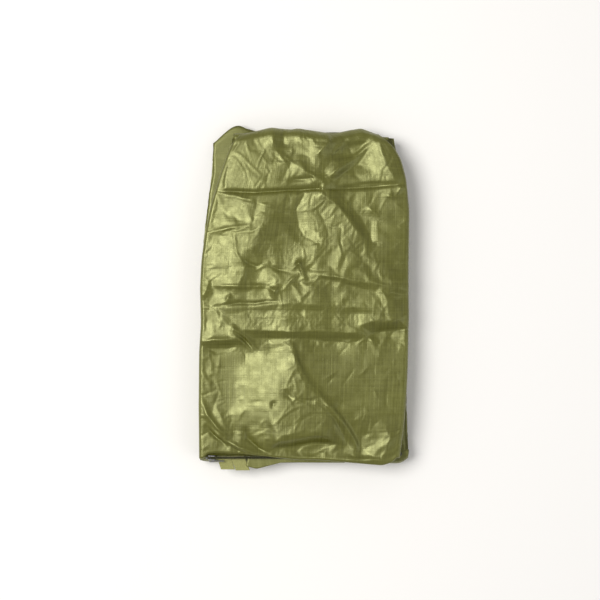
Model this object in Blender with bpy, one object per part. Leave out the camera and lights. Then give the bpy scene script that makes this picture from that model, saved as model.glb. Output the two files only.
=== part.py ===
"""Bivy sack of ripstop nylon, folded flat for storage.

The sack is folded in quarters across its width and in half along its length, which makes one
long strip of many plies. The strip is folded twice more, like a Z, into three leaves on top of
each other: the bottom leaf, the middle leaf and the top leaf. The two folds between the leaves
are hinges. The free end of the top leaf holds both ends of the sack: the mouth with its zip,
the drawcord with its cord lock, the corner of the foot end and the four stake loops.

Lengths are millimetres until `metres` turns them into Blender's metres. X runs across the
bundle, Y along it towards the top fold, and Z up. The origin is the centre of the underside.
"""

import math

import bmesh
import bpy
from mathutils import Matrix, Vector

# ---- driving dimensions, in millimetres ----------------------------------------------------
HALF_WIDTH = 117.3
HALF_LENGTH = 191.2
LEAF = 11.4  # thickness of one leaf
GAP = 0.3  # between neighbours that touch on the real sack
TOP_FOLD_Y = 176.0  # hinge line between the middle and the top leaf
BOTTOM_FOLD_Y = -172.0  # hinge line between the bottom and the middle leaf
PACKETS = 3  # packets of plies in one leaf
SOFT_EDGE = 1.3  # rounding of a packet's folded edges

BOTTOM_FOLD_Z = LEAF
TOP_FOLD_Z = 2 * LEAF
PACKET = (LEAF - PACKETS * GAP) / PACKETS

# The zip stands on edge along the free end of the top leaf, its coil facing out.
ZIP_START_X, ZIP_END_X = -109.0, 46.0
ZIP_TAPE_Y = -177.0  # outer side of the tape
ZIP_Z = 27.6
TAPE = 0.5
TAPE_REACH = 2.85
COIL_HALF_GAP = 0.5
COIL_WIDTH, COIL_DEPTH = 1.7, 2.0
COIL_SEAM = 0.05  # between the coil and its tape
STOP_LENGTH, STOP_DEPTH = 2.0, 2.15
SLIDER_X, SLIDER_LENGTH, SLIDER_HEIGHT = -102.5, 8.4, 5.6
SLIDER_PLATE, SLIDER_ROOM, SLIDER_NECK = 0.9, 0.35, 0.5
SINK = 0.4  # how far pieces that a union joins reach into each other
BRIDGE_HALF, BRIDGE_RISE, BRIDGE_WALL, BRIDGE_WIDE = 2.7, 2.4, 0.9, 1.4
PULL_LENGTH, PULL_WIDTH, PULL_THICK = 14.0, 4.2, 1.0
PULL_PIN, PULL_PIN_RISE, PULL_EYE_HALF, PULL_EYE_LENGTH = 0.55, 0.9, 1.05, 4.0

# The drawcord leaves its hem in the right-hand end of the mouth and carries the cord lock.
CORD_RADIUS = 1.0
CORD_Y, CORD_Z = -173.5, 26.3
HEM_END_X, HEM_END_LENGTH, HEM_END_RADIUS = 55.0, 5.6, 2.4
KNOT_X, KNOT_RADIUS = 106.0, 2.2
LOCK_X, LOCK_LENGTH, LOCK_HEIGHT = 80.0, 9.0, 5.8
LOCK_FRONT_Y, LOCK_BACK_Y = -179.4, -167.8
LOCK_BORE, PLUNGER_RADIUS, BUTTON_TRAVEL = 2.25, 2.0, 2.2
LOCK_FLOOR, CORD_HOLE = 1.2, 1.35
BUTTON_CAP_RADIUS, BUTTON_CAP = 2.8, 1.4
SPRING_RADIUS, SPRING_TURNS, SPRING_WIRE = 1.4, 3, 0.25

LOOP_WIDTH, LOOP_THICK = 12.0, 0.6
CORNER_THICK = 0.6


def metres(*values):
    return Vector([value / 1000 for value in values])


# ---- materials -----------------------------------------------------------------------------
def material(name, colour, roughness, metallic=0.0):
    made = bpy.data.materials.new(name)
    made.use_nodes = True
    shader = made.node_tree.nodes["Principled BSDF"]
    shader.inputs["Base Color"].default_value = (*colour, 1.0)
    shader.inputs["Roughness"].default_value = roughness
    shader.inputs["Metallic"].default_value = metallic
    return made


def make_materials():
    return {
        "ripstop": material("ripstop_nylon", (0.20, 0.21, 0.06), 0.42),
        "floor": material("coated_floor_nylon", (0.15, 0.16, 0.05), 0.35),
        "webbing": material("grosgrain_webbing", (0.32, 0.34, 0.14), 0.75),
        "mesh": material("insect_mesh", (0.02, 0.02, 0.02), 0.8),
        "zip": material("zip_coil_and_tape", (0.025, 0.025, 0.022), 0.5),
        "metal": material("slider_metal", (0.35, 0.35, 0.36), 0.25, 1.0),
        "cord": material("elastic_cord", (0.02, 0.02, 0.02), 0.7),
        "plastic": material("cord_lock_plastic", (0.02, 0.02, 0.02), 0.4),
        "label": material("care_label_tape", (0.75, 0.74, 0.70), 0.7),
    }


# ---- building blocks -----------------------------------------------------------------------
def fillet(before, corner, after, radius, steps=5):
    """The points of an arc that rounds one corner of an outline."""
    before, corner, after = Vector(before), Vector(corner), Vector(after)
    to_before, to_after = (before - corner).normalized(), (after - corner).normalized()
    half = math.acos(max(-1.0, min(1.0, to_before.dot(to_after)))) / 2
    reach = radius / math.tan(half)
    centre = corner + (to_before + to_after).normalized() * (radius / math.sin(half))
    start, end = corner + to_before * reach - centre, corner + to_after * reach - centre
    turn = math.atan2(start.x * end.y - start.y * end.x, start.dot(end))
    return [centre + Matrix.Rotation(turn * k / steps, 2) @ start for k in range(steps + 1)]


def rounded(corners):
    """An outline from (x, y, radius) corners."""
    points = []
    for i, (x, y, radius) in enumerate(corners):
        before, after = corners[i - 1][:2], corners[(i + 1) % len(corners)][:2]
        points += fillet(before, (x, y), after, radius)
    return points


def rounded_box(x0, x1, y0, y1, radius):
    return rounded([(x0, y0, radius), (x1, y0, radius), (x1, y1, radius), (x0, y1, radius)])


def circle(a, b, radius, steps=20):
    turns = [2 * math.pi * k / steps for k in range(steps)]
    return [(a + radius * math.cos(t), b + radius * math.sin(t)) for t in turns]


def prism(outline, low, high, along="Z"):
    """A closed bmesh: a 2-D outline in the plane across `along`, from low to high on that axis."""
    place = {
        "X": lambda a, b, c: (c, a, b),
        "Y": lambda a, b, c: (a, c, b),
        "Z": lambda a, b, c: (a, b, c),
    }[along]
    mesh = bmesh.new()
    rings = [[mesh.verts.new(metres(*place(a, b, c))) for a, b in outline] for c in (low, high)]
    mesh.faces.new(rings[0])
    mesh.faces.new(rings[1])
    for i in range(len(outline)):
        j = (i + 1) % len(outline)
        mesh.faces.new((rings[0][i], rings[0][j], rings[1][j], rings[1][i]))
    bmesh.ops.recalc_face_normals(mesh, faces=mesh.faces)
    return mesh


def box(x0, x1, y0, y1, z0, z1):
    return prism([(x0, y0), (x1, y0), (x1, y1), (x0, y1)], z0, z1)


def pivot(name, parent, *where):
    """An empty on a joint's axis, which carries the pieces of one body."""
    empty = bpy.data.objects.new(name, None)
    bpy.context.scene.collection.objects.link(empty)
    empty.parent = parent
    start = parent.matrix_world.translation if parent else Vector()
    empty.location = metres(*where) - start
    bpy.context.view_layer.update()
    return empty


def add(name, mesh, look, parent):
    """Puts a bmesh made in world coordinates into the scene, its origin at its parent's."""
    data = bpy.data.meshes.new(name)
    mesh.to_mesh(data)
    mesh.free()
    data.transform(Matrix.Translation(-parent.matrix_world.translation))
    if look:
        data.materials.append(look)
    obj = bpy.data.objects.new(name, data)
    bpy.context.scene.collection.objects.link(obj)
    obj.parent = parent
    return obj


def soften(obj, width, segments=2):
    bevel = obj.modifiers.new("soft_edges", "BEVEL")
    bevel.width = width / 1000
    bevel.segments = segments
    bevel.limit_method = "ANGLE"
    bevel.angle_limit = math.radians(50)
    return obj


def combine(obj, mesh, operation):
    """Joins a helper shape to obj, or cuts it out of obj."""
    helper = add(f"{obj.name}_helper", mesh, None, obj.parent)
    helper.hide_render = True
    helper.display_type = "WIRE"
    boolean = obj.modifiers.new(operation.lower(), "BOOLEAN")
    boolean.operation = operation
    boolean.object = helper
    return obj


def tube(name, points, radius, look, parent):
    """A cord or wire through points, as a curve with a round bevel and filled caps."""
    curve = bpy.data.curves.new(name, "CURVE")
    curve.dimensions = "3D"
    curve.bevel_depth = radius / 1000
    curve.bevel_resolution = 2
    curve.use_fill_caps = True
    curve.materials.append(look)
    spline = curve.splines.new("POLY")
    spline.points.add(len(points) - 1)
    start = parent.matrix_world.translation
    for place, point in zip(spline.points, points):
        place.co = (*(metres(*point) - start), 1.0)
    obj = bpy.data.objects.new(name, curve)
    bpy.context.scene.collection.objects.link(obj)
    obj.parent = parent
    return obj


# ---- leaves --------------------------------------------------------------------------------
def packet(name, corners, leaf, place, look, parent, share=(0.0, 1.0)):
    """A packet of plies, or a share of its height: leaf 0 is the bottom one, place 0 its lowest."""
    base = leaf * LEAF + GAP / 2 + place * (PACKET + GAP)
    low, high = base + share[0] * PACKET, base + share[1] * PACKET
    if leaf == place == 0:
        low = 0.0
    edge = min(SOFT_EDGE, (high - low) * 0.4)
    return soften(add(name, prism(rounded(corners), low, high), look, parent), edge)


def bottom_leaf(looks, parent):
    """Hinged at its near end. Its far end is the first fold of the sack, so its corners show."""
    near = BOTTOM_FOLD_Y + GAP / 2
    full = [
        (-HALF_WIDTH, near, 2),
        (HALF_WIDTH, near, 2),
        (HALF_WIDTH, 104, 60),
        (100, 168, 12),
        (62, 186, 8),
        (0, 184, 30),
        (-58, 184, 4),
        (-72, HALF_LENGTH, 2),
        (-100.5, 172.5, 4),
        (-HALF_WIDTH, -4, 120),
    ]
    inner = [
        (-112, near, 2),
        (113, near, 2),
        (108, 150, 20),
        (84, 178, 8),
        (-80, 178, 8),
        (-103, 150, 20),
    ]
    packet("bottom_leaf_upper_panel_outer", full, 0, 0, looks["ripstop"], parent)
    packet("bottom_leaf_floor_panel", inner, 0, 1, looks["floor"], parent)
    packet("bottom_leaf_upper_panel_inner", full, 0, 2, looks["ripstop"], parent)


def middle_leaf(looks, parent):
    """Hinged at both ends."""
    near, far = BOTTOM_FOLD_Y + GAP / 2, TOP_FOLD_Y - GAP / 2
    outer = [
        (-115, near, 2),
        (115, near, 2),
        (112, 100, 60),
        (100, far, 3),
        (-93, far, 3),
        (-110, 80, 90),
    ]
    core = [
        (-111, near, 2),
        (112, near, 2),
        (109, 90, 60),
        (94, far, 3),
        (-88, far, 3),
        (-107, 70, 90),
    ]
    packet("middle_leaf_upper_panel_lower", outer, 1, 0, looks["ripstop"], parent)
    packet("middle_leaf_floor_panel", core, 1, 1, looks["floor"], parent)
    packet("middle_leaf_upper_panel_upper", outer, 1, 2, looks["ripstop"], parent)


def top_leaf(looks, parent):
    """Hinged at its far end. Its near end is the mouth, with a recess for the cord lock."""
    far = TOP_FOLD_Y - GAP / 2
    mouth = ZIP_TAPE_Y + TAPE + SLIDER_PLATE + SLIDER_ROOM + GAP
    recess = LOCK_BACK_Y + 4
    cover = [
        (-115.5, -171, 5),
        (-100, mouth, 3),
        (-45, mouth, 3),
        (-10, -178.5, 12),
        (86, -184.5, 6),
        (99, -177, 4),
        (111, -97, 60),
        (115.5, 0, 200),
        (114.5, 110, 60),
        (101, far, 5),
        (-88, far, 5),
        (-98, 140, 40),
        (-108, 70, 80),
        (-114.5, 10, 90),
    ]
    under = [
        (-113, mouth, 4),
        (48, mouth, 1),
        (48, recess, 2),
        (110, recess, 4),
        (111, 60, 60),
        (98, far, 3),
        (-86, far, 3),
        (-106, 60, 60),
    ]
    window = [
        (-90, mouth + 3, 4),
        (40, mouth + 3, 4),
        (44, recess + 8, 6),
        (96, recess + 8, 6),
        (96, -40, 8),
        (-90, -40, 8),
    ]
    packet("top_leaf_floor_panel", under, 2, 0, looks["floor"], parent)
    packet("hood_panel", under, 2, 1, looks["ripstop"], parent, (0.0, 0.55))
    packet("hood_mesh_window", window, 2, 1, looks["mesh"], parent, (0.65, 1.0))
    packet("top_leaf_upper_panel_cover", cover, 2, 2, looks["ripstop"], parent)


def fold_wraps(name, fold_y, fold_z, side, edges, look, parent):
    """The plies that turn round a fold: nested half-rings about the hinge line."""
    steps = 14
    turns = [math.pi * (k / steps - 0.5) for k in range(steps + 1)]
    start_y = fold_y + side * GAP / 2

    def arc(radius):
        return [(start_y + side * radius * math.cos(t), fold_z + radius * math.sin(t)) for t in turns]

    for place, (ring, (left, right)) in enumerate(zip(("outer", "middle", "inner"), edges)):
        radius = LEAF - GAP / 2 - place * (PACKET + GAP)
        inside = max(radius - PACKET, GAP)
        mesh = prism(arc(radius) + arc(inside)[::-1], left, right, "X")
        add(f"{name}_{ring}", mesh, look, parent)


# ---- zip -----------------------------------------------------------------------------------
def zip_halves(looks, parent):
    """Two tapes on edge with their coils side by side, unzipped, and the stops at both ends."""
    coil_back = ZIP_TAPE_Y - COIL_SEAM
    coil_front = coil_back - COIL_DEPTH
    for half, side in (("upper", 1), ("lower", -1)):
        near, far = ZIP_Z + side * COIL_HALF_GAP, ZIP_Z + side * (COIL_HALF_GAP + COIL_WIDTH)
        low, high = sorted((near + side * COIL_WIDTH * 0.4, ZIP_Z + side * TAPE_REACH))
        tape = box(ZIP_START_X, ZIP_END_X, ZIP_TAPE_Y, ZIP_TAPE_Y + TAPE, low, high)
        add(f"zip_tape_{half}", tape, looks["zip"], parent)
        low, high = sorted((near, far))
        outline = rounded([
            (coil_back, low, 0.3),
            (coil_back, high, 0.3),
            (coil_front, high, 0.7),
            (coil_front, low, 0.7),
        ])
        start, end = ZIP_START_X + STOP_LENGTH + GAP, ZIP_END_X - STOP_LENGTH - GAP
        add(f"zip_coil_{half}", prism(outline, start, end, "X"), looks["zip"], parent)
    reach = COIL_HALF_GAP + COIL_WIDTH
    for end, x in (("start", ZIP_START_X), ("end", ZIP_END_X - STOP_LENGTH)):
        block = box(x, x + STOP_LENGTH, coil_back - STOP_DEPTH, coil_back, ZIP_Z - reach, ZIP_Z + reach)
        soften(add(f"zip_{end}_stop", block, looks["metal"], parent), 0.35)


def slider_front():
    """Where the slider's front plate starts, clear of the coil."""
    return ZIP_TAPE_Y - COIL_SEAM - COIL_DEPTH - SLIDER_ROOM


def zip_slider(looks, parent):
    """Front and back plates joined by the neck that runs between the coils, and the bridge."""
    front, back = slider_front(), ZIP_TAPE_Y + TAPE + SLIDER_ROOM
    half, height = SLIDER_LENGTH / 2, SLIDER_HEIGHT / 2
    left, right = SLIDER_X - half, SLIDER_X + half
    outline = rounded([
        (left, ZIP_Z - height * 0.8, 1.2),
        (right, ZIP_Z - height, 1.4),
        (right, ZIP_Z + height, 1.4),
        (left, ZIP_Z + height * 0.8, 1.2),
    ])
    slider = add("zip_slider_body", prism(outline, front - SLIDER_PLATE, front, "Y"), looks["metal"], parent)
    combine(slider, prism(outline, back, back + SLIDER_PLATE, "Y"), "UNION")
    neck = SLIDER_NECK / 2
    post = box(left + 1.2, left + 3.4, front - SINK, back + SINK, ZIP_Z - neck, ZIP_Z + neck)
    combine(slider, post, "UNION")
    foot, crest = front - SINK, front - SLIDER_PLATE - BRIDGE_RISE
    reach = BRIDGE_HALF - BRIDGE_WALL
    arch = [
        (SLIDER_X - BRIDGE_HALF, foot),
        (SLIDER_X - BRIDGE_HALF, crest + 0.7),
        (SLIDER_X - BRIDGE_HALF + 0.7, crest),
        (SLIDER_X + BRIDGE_HALF - 0.7, crest),
        (SLIDER_X + BRIDGE_HALF, crest + 0.7),
        (SLIDER_X + BRIDGE_HALF, foot),
        (SLIDER_X + reach, foot),
        (SLIDER_X + reach, crest + BRIDGE_WALL),
        (SLIDER_X - reach, crest + BRIDGE_WALL),
        (SLIDER_X - reach, foot),
    ]
    combine(slider, prism(arch, ZIP_Z - BRIDGE_WIDE / 2, ZIP_Z + BRIDGE_WIDE / 2), "UNION")


def pull_axis():
    """The point on the pull's pin, inside the bridge's window."""
    return SLIDER_X, slider_front() - SLIDER_PLATE - PULL_PIN_RISE, ZIP_Z


def zip_pull(looks, parent):
    """A tab that hangs on the bridge by a round pin, with an eye round the bridge."""
    x, y, z = pull_axis()
    low, high = z - PULL_WIDTH / 2, z + PULL_WIDTH / 2
    half = PULL_THICK / 2
    pull = add("zip_pull_tab", prism(circle(x, y, PULL_PIN, 14), low, high), looks["metal"], parent)
    for start, end in ((low, z - PULL_EYE_HALF), (z + PULL_EYE_HALF, high)):
        arm = box(x, x + PULL_EYE_LENGTH + 1, y - half, y + half, start, end)
        combine(pull, arm, "UNION")
    blade = rounded([
        (x + PULL_EYE_LENGTH, low, 0.2),
        (x + PULL_LENGTH, low, 1.6),
        (x + PULL_LENGTH, high, 1.6),
        (x + PULL_EYE_LENGTH, high, 0.2),
    ])
    combine(pull, prism(blade, y - half, y + half, "Y"), "UNION")


# ---- drawcord ------------------------------------------------------------------------------
def drawcord(looks, parent):
    """The open end of the hem, the cord that leaves it, and the knot at the cord's end."""
    start = HEM_END_X - HEM_END_LENGTH
    hem = prism(circle(CORD_Y, CORD_Z, HEM_END_RADIUS, 16), start, HEM_END_X, "X")
    hem_end = add("drawcord_hem_end", hem, looks["ripstop"], parent)
    bore = prism(circle(CORD_Y, CORD_Z, CORD_RADIUS + GAP, 16), start - 1, HEM_END_X + 1, "X")
    combine(hem_end, bore, "DIFFERENCE")
    first, last = start + 1, KNOT_X - KNOT_RADIUS - GAP
    steps = 12
    points = [(first + (last - first) * k / steps, CORD_Y, CORD_Z) for k in range(steps + 1)]
    tube("drawcord", points, CORD_RADIUS, looks["cord"], parent)
    knot = bmesh.new()
    bmesh.ops.create_icosphere(knot, subdivisions=2, radius=KNOT_RADIUS / 1000)
    bmesh.ops.translate(knot, verts=knot.verts, vec=metres(KNOT_X, CORD_Y, CORD_Z))
    add("drawcord_knot", knot, looks["cord"], parent)


def cord_lock(looks, parent):
    """A flat barrel, bored from its front for the plunger and through its sides for the cord."""
    half, height = LOCK_LENGTH / 2, LOCK_HEIGHT / 2
    outline = rounded_box(LOCK_X - half, LOCK_X + half, CORD_Z - height, CORD_Z + height, 1.7)
    body = prism(outline, LOCK_FRONT_Y, LOCK_BACK_Y, "Y")
    barrel = add("cord_lock_barrel", body, looks["plastic"], parent)
    bore = prism(circle(LOCK_X, CORD_Z, LOCK_BORE, 24), LOCK_FRONT_Y - 1, LOCK_BACK_Y - LOCK_FLOOR, "Y")
    combine(barrel, bore, "DIFFERENCE")
    hole = prism(circle(CORD_Y, CORD_Z, CORD_HOLE, 16), LOCK_X - half - 1, LOCK_X + half + 1, "X")
    combine(barrel, hole, "DIFFERENCE")


def plunger_end():
    """How far the plunger reaches past the cord when the button is out."""
    return CORD_Y + CORD_RADIUS + GAP + 0.8


def cord_lock_spring(looks, parent):
    steps = 12
    count = SPRING_TURNS * steps
    low, high = plunger_end() + SPRING_WIRE + 0.1, LOCK_BACK_Y - LOCK_FLOOR - SPRING_WIRE - 0.1
    points = []
    for k in range(count + 1):
        turn = 2 * math.pi * k / steps
        x, z = LOCK_X + SPRING_RADIUS * math.cos(turn), CORD_Z + SPRING_RADIUS * math.sin(turn)
        points.append((x, low + (high - low) * k / count, z))
    tube("cord_lock_spring", points, SPRING_WIRE, looks["metal"], parent)


def cord_lock_button(looks, parent):
    """The plunger, with a slot that stays clear of the cord over its travel, and its cap."""
    cap_y = LOCK_FRONT_Y - GAP - BUTTON_TRAVEL
    rod = prism(circle(LOCK_X, CORD_Z, PLUNGER_RADIUS, 24), cap_y - SINK, plunger_end(), "Y")
    button = add("cord_lock_button", rod, looks["plastic"], parent)
    cap = prism(circle(LOCK_X, CORD_Z, BUTTON_CAP_RADIUS, 24), cap_y - BUTTON_CAP, cap_y, "Y")
    combine(button, cap, "UNION")
    room = CORD_RADIUS + GAP
    reach = PLUNGER_RADIUS + 1
    low = CORD_Y - room - BUTTON_TRAVEL
    slot = box(LOCK_X - reach, LOCK_X + reach, low, CORD_Y + room, CORD_Z - room, CORD_Z + room)
    combine(button, slot, "DIFFERENCE")


# ---- stake loops, foot end and label -------------------------------------------------------
def strip(name, x, root_y, tip_y, lean, width, low, high, look, parent):
    """A flat strip that leaves a seam at root_y and ends at tip_y, leaning by some degrees."""
    half = width / 2
    shift = (root_y - tip_y) * math.tan(math.radians(lean))
    outline = rounded([
        (x - half, root_y, 0.3),
        (x - half + shift, tip_y, 0.8),
        (x + half + shift, tip_y, 0.8),
        (x + half, root_y, 0.3),
    ])
    add(name, prism(outline, low, high), look, parent)


def mouth_trim(looks, parent):
    """The sack's four corners meet at the left of the mouth, so all the stake loops are there."""
    root_y, low = ZIP_TAPE_Y + 1, TOP_FOLD_Z + GAP / 2
    loops = {
        "head_left": (-94.0, -HALF_LENGTH, 4.0),
        "foot_left": (-73.0, -188.6, 12.0),
        "head_right": (-50.0, -185.5, 3.0),
        "foot_right": (-34.0, -184.0, -5.0),
    }
    for corner, (x, tip_y, lean) in loops.items():
        name = f"stake_loop_{corner}"
        strip(name, x, root_y, tip_y, lean, LOOP_WIDTH, low, low + LOOP_THICK, looks["webbing"], parent)
    strip("care_label", 34.0, root_y, -183.0, 0.0, 18.0, low, low + LOOP_THICK, looks["label"], parent)
    low += LOOP_THICK + GAP
    corner = rounded([
        (-58, root_y, 1),
        (-61, -189.4, 1.5),
        (-40, -187, 4),
        (22, -181, 4),
        (22, root_y, 1),
    ])
    add("foot_end_corner", prism(corner, low, low + CORNER_THICK), looks["floor"], parent)


# ---- assembly ------------------------------------------------------------------------------
def build():
    for obj in list(bpy.data.objects):
        bpy.data.objects.remove(obj)
    looks = make_materials()

    bottom = pivot("bottom_leaf_origin", None, 0, 0, 0)
    bottom_leaf(looks, bottom)
    edges = ((-115.0, 115.0), (-111.0, 112.0), (-109.0, 110.0))
    fold_wraps("bottom_fold", BOTTOM_FOLD_Y, BOTTOM_FOLD_Z, -1, edges, looks["ripstop"], bottom)

    middle = pivot("bottom_fold_axis", bottom, 0, BOTTOM_FOLD_Y, BOTTOM_FOLD_Z)
    middle_leaf(looks, middle)
    edges = ((-88.0, 98.0), (-85.0, 94.0), (-84.0, 93.0))
    fold_wraps("top_fold", TOP_FOLD_Y, TOP_FOLD_Z, 1, edges, looks["ripstop"], middle)

    top = pivot("top_fold_axis", middle, 0, TOP_FOLD_Y, TOP_FOLD_Z)
    top_leaf(looks, top)
    zip_halves(looks, top)
    drawcord(looks, top)
    mouth_trim(looks, top)

    slider = pivot("zip_slider_axis", top, SLIDER_X, ZIP_TAPE_Y, ZIP_Z)
    zip_slider(looks, slider)
    zip_pull(looks, pivot("zip_pull_axis", slider, *pull_axis()))

    lock = pivot("cord_lock_axis", top, LOCK_X, CORD_Y, CORD_Z)
    cord_lock(looks, lock)
    cord_lock_spring(looks, lock)
    cord_lock_button(looks, pivot("cord_lock_button_axis", lock, LOCK_X, LOCK_FRONT_Y, CORD_Z))


build()
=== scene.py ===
"""Looks of the bivy sack that is folded flat into a bundle of three leaves.

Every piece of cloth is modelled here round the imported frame: the creased top sheet, the packets
of plies under it, the plies that turn round the two folds, the zip, the drawcord, the webbing
loops and the label. Lengths are in millimetres, except those of the lights and the floor.
"""

import math

import bpy
import numpy as np
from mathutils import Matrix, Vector


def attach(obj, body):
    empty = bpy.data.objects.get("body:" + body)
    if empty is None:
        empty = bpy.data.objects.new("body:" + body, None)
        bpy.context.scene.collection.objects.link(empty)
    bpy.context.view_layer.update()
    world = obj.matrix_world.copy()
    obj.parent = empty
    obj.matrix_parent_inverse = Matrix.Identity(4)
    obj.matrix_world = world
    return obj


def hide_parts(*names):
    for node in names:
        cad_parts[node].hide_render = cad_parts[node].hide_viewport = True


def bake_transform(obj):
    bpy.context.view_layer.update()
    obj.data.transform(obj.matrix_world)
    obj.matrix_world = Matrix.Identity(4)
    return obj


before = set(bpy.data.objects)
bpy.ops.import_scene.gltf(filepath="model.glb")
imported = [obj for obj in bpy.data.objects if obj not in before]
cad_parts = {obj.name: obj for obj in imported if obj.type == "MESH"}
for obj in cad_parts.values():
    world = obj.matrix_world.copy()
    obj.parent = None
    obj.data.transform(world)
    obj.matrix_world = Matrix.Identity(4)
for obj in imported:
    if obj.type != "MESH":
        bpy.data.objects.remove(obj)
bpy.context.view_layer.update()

# ---- driving dimensions, in millimetres ----------------------------------------------------
LEAF = 11.4  # thickness of one leaf, which is also how far its plies turn out round a fold
TOP_FOLD_Y, TOP_FOLD_Z = 176.0, 22.8
BOTTOM_FOLD_Y, BOTTOM_FOLD_Z = -172.0, 11.4
REST_TOP = 35.4  # plane that the heights of the creases are measured from
GRID = 4.9  # spacing of the ripstop threads
WEAVE = 0.7  # spacing of the fine threads between them
CLOTH = 0.14  # thickness of one ply
FOLD_RUN = 22  # stretch of a crease pattern that a fold's turn shows for each radian
CORD_Y, CORD_Z, CORD_RADIUS, BRAID_PITCH = -173.5, 26.3, 1.0, 3.2
rng = np.random.default_rng(11)


def metres(*values):
    return Vector([value / 1000 for value in values])


def smoothstep(low, high, x):
    t = np.clip((np.asarray(x, float) - low) / (high - low), 0, 1)
    return t * t * (3 - 2 * t)


# ---- camera, light and floor ---------------------------------------------------------------
CAMERA_X, CAMERA_Y, CAMERA_Z = -4.95, -3.3, 1594.0
KEY_FROM, FILL_FROM = Vector((-0.48, 0.13, 0.86)), Vector((0.75, -0.3, 0.6))
WARM, COOL = (1.0, 0.985, 0.95), (0.97, 0.98, 1.0)
ROOM, ROOM_LIGHT = (1.0, 0.985, 0.96, 1), 0.435
FLOOR_HALF, FLOOR_DROP = 4.0, 0.0002


def area_light(name, direction, distance, size, power, colour):
    data = bpy.data.lights.new(name, "AREA")
    data.shape = "DISK"
    data.size = size
    data.energy = power
    data.color = colour
    light = bpy.data.objects.new(name, data)
    bpy.context.scene.collection.objects.link(light)
    light.location = direction.normalized() * distance
    light.rotation_mode = "QUATERNION"
    light.rotation_quaternion = direction.to_track_quat("Z", "Y")


def studio():
    scene = bpy.context.scene
    scene.view_settings.view_transform = "Standard"
    camera = bpy.data.objects.new("camera", bpy.data.cameras.new("camera"))
    camera.data.lens, camera.data.sensor_width = 85, 36
    camera.data.clip_end = 20
    camera.location = metres(CAMERA_X, CAMERA_Y, CAMERA_Z)
    scene.collection.objects.link(camera)
    scene.camera = camera
    area_light("key_light", KEY_FROM, distance=2.6, size=1.5, power=53.0, colour=WARM)
    area_light("fill_light", FILL_FROM, distance=2.4, size=2.0, power=8.0, colour=COOL)
    world = bpy.data.worlds.new("studio")
    world.use_nodes = True
    background = world.node_tree.nodes["Background"]
    background.inputs["Color"].default_value = ROOM
    background.inputs["Strength"].default_value = ROOM_LIGHT
    scene.world = world


def floor():
    half = FLOOR_HALF
    data = bpy.data.meshes.new("floor")
    corners = [(-half, -half, 0), (half, -half, 0), (half, half, 0), (-half, half, 0)]
    data.from_pydata(corners, [], [(0, 1, 2, 3)])
    obj = bpy.data.objects.new("floor", data)
    obj.location.z = -FLOOR_DROP
    bpy.context.scene.collection.objects.link(obj)
    look = bpy.data.materials.new("pale_floor")
    look.use_nodes = True
    shader = look.node_tree.nodes["Principled BSDF"]
    shader.inputs["Base Color"].default_value = (0.93, 0.92, 0.91, 1)
    shader.inputs["Roughness"].default_value = 0.9
    shader.inputs["Specular IOR Level"].default_value = 0.1
    data.materials.append(look)


# ---- materials -----------------------------------------------------------------------------
class Nodes:
    """Short calls for making a material's nodes."""

    def __init__(self, name):
        self.material = bpy.data.materials.new(name)
        self.material.use_nodes = True
        self.tree = self.material.node_tree
        self.shader = self.tree.nodes["Principled BSDF"]

    def put(self, kind, **inputs):
        node = self.tree.nodes.new(f"ShaderNode{kind}")
        for key, value in inputs.items():
            if hasattr(node, key):
                setattr(node, key, value)
            else:
                self.feed(node.inputs[key.replace("_", " ")], value)
        return node

    def feed(self, socket, value):
        if isinstance(value, bpy.types.NodeSocket):
            self.tree.links.new(value, socket)
        else:
            socket.default_value = value

    def math(self, operation, a, b=0.0, c=0.0):
        node = self.tree.nodes.new("ShaderNodeMath")
        node.operation = operation
        for socket, value in zip(node.inputs, (a, b, c)):
            self.feed(socket, value)
        return node.outputs[0]

    def cloth(self):
        """Flat coordinates on the cloth, in metres."""
        return self.put("Attribute", attribute_name="cloth").outputs["Vector"]

    def object_space(self):
        return self.put("TexCoord").outputs["Object"]

    def noise(self, where, size, detail=2.0, rough=0.5):
        node = self.tree.nodes.new("ShaderNodeTexNoise")
        self.feed(node.inputs["Vector"], where)
        node.inputs["Scale"].default_value = 1000 / size
        node.inputs["Detail"].default_value = detail
        node.inputs["Roughness"].default_value = rough
        return node.outputs["Fac"]

    def fade(self, value, low, high, start=0.0, end=1.0):
        node = self.tree.nodes.new("ShaderNodeMapRange")
        node.interpolation_type = "SMOOTHSTEP"
        for socket, number in zip(node.inputs, (value, low, high, start, end)):
            self.feed(socket, number)
        return node.outputs[0]

    def mix(self, share, a, b):
        node = self.tree.nodes.new("ShaderNodeMix")
        node.data_type = "RGBA"
        self.feed(node.inputs[0], share)
        for socket, colour in zip(node.inputs[6:8], (a, b)):
            self.feed(socket, colour if isinstance(colour, bpy.types.NodeSocket) else (*colour, 1.0))
        return node.outputs[2]

    def bump(self, height, depth, strength=1.0, normal=None):
        node = self.tree.nodes.new("ShaderNodeBump")
        node.inputs["Distance"].default_value = depth / 1000
        node.inputs["Strength"].default_value = strength
        self.feed(node.inputs["Height"], height)
        if normal is not None:
            self.feed(node.inputs["Normal"], normal)
        return node.outputs[0]

    def set(self, **inputs):
        for key, value in inputs.items():
            if isinstance(value, tuple) and len(value) == 3:
                value = (*value, 1.0)
            self.feed(self.shader.inputs[key.replace("_", " ")], value)
        return self.material


def stripes(n, coordinate, spacing, width, offset=0.0):
    """1 on threads of that width every spacing, 0 between them."""
    turn = n.math("ADD", n.math("DIVIDE", coordinate, spacing / 1000), offset)
    off = n.math("ABSOLUTE", n.math("SUBTRACT", n.math("FRACT", turn), 0.5))
    half = width / spacing / 2
    return n.fade(off, half * 0.5, half * 1.5, 1.0, 0.0)


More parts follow.
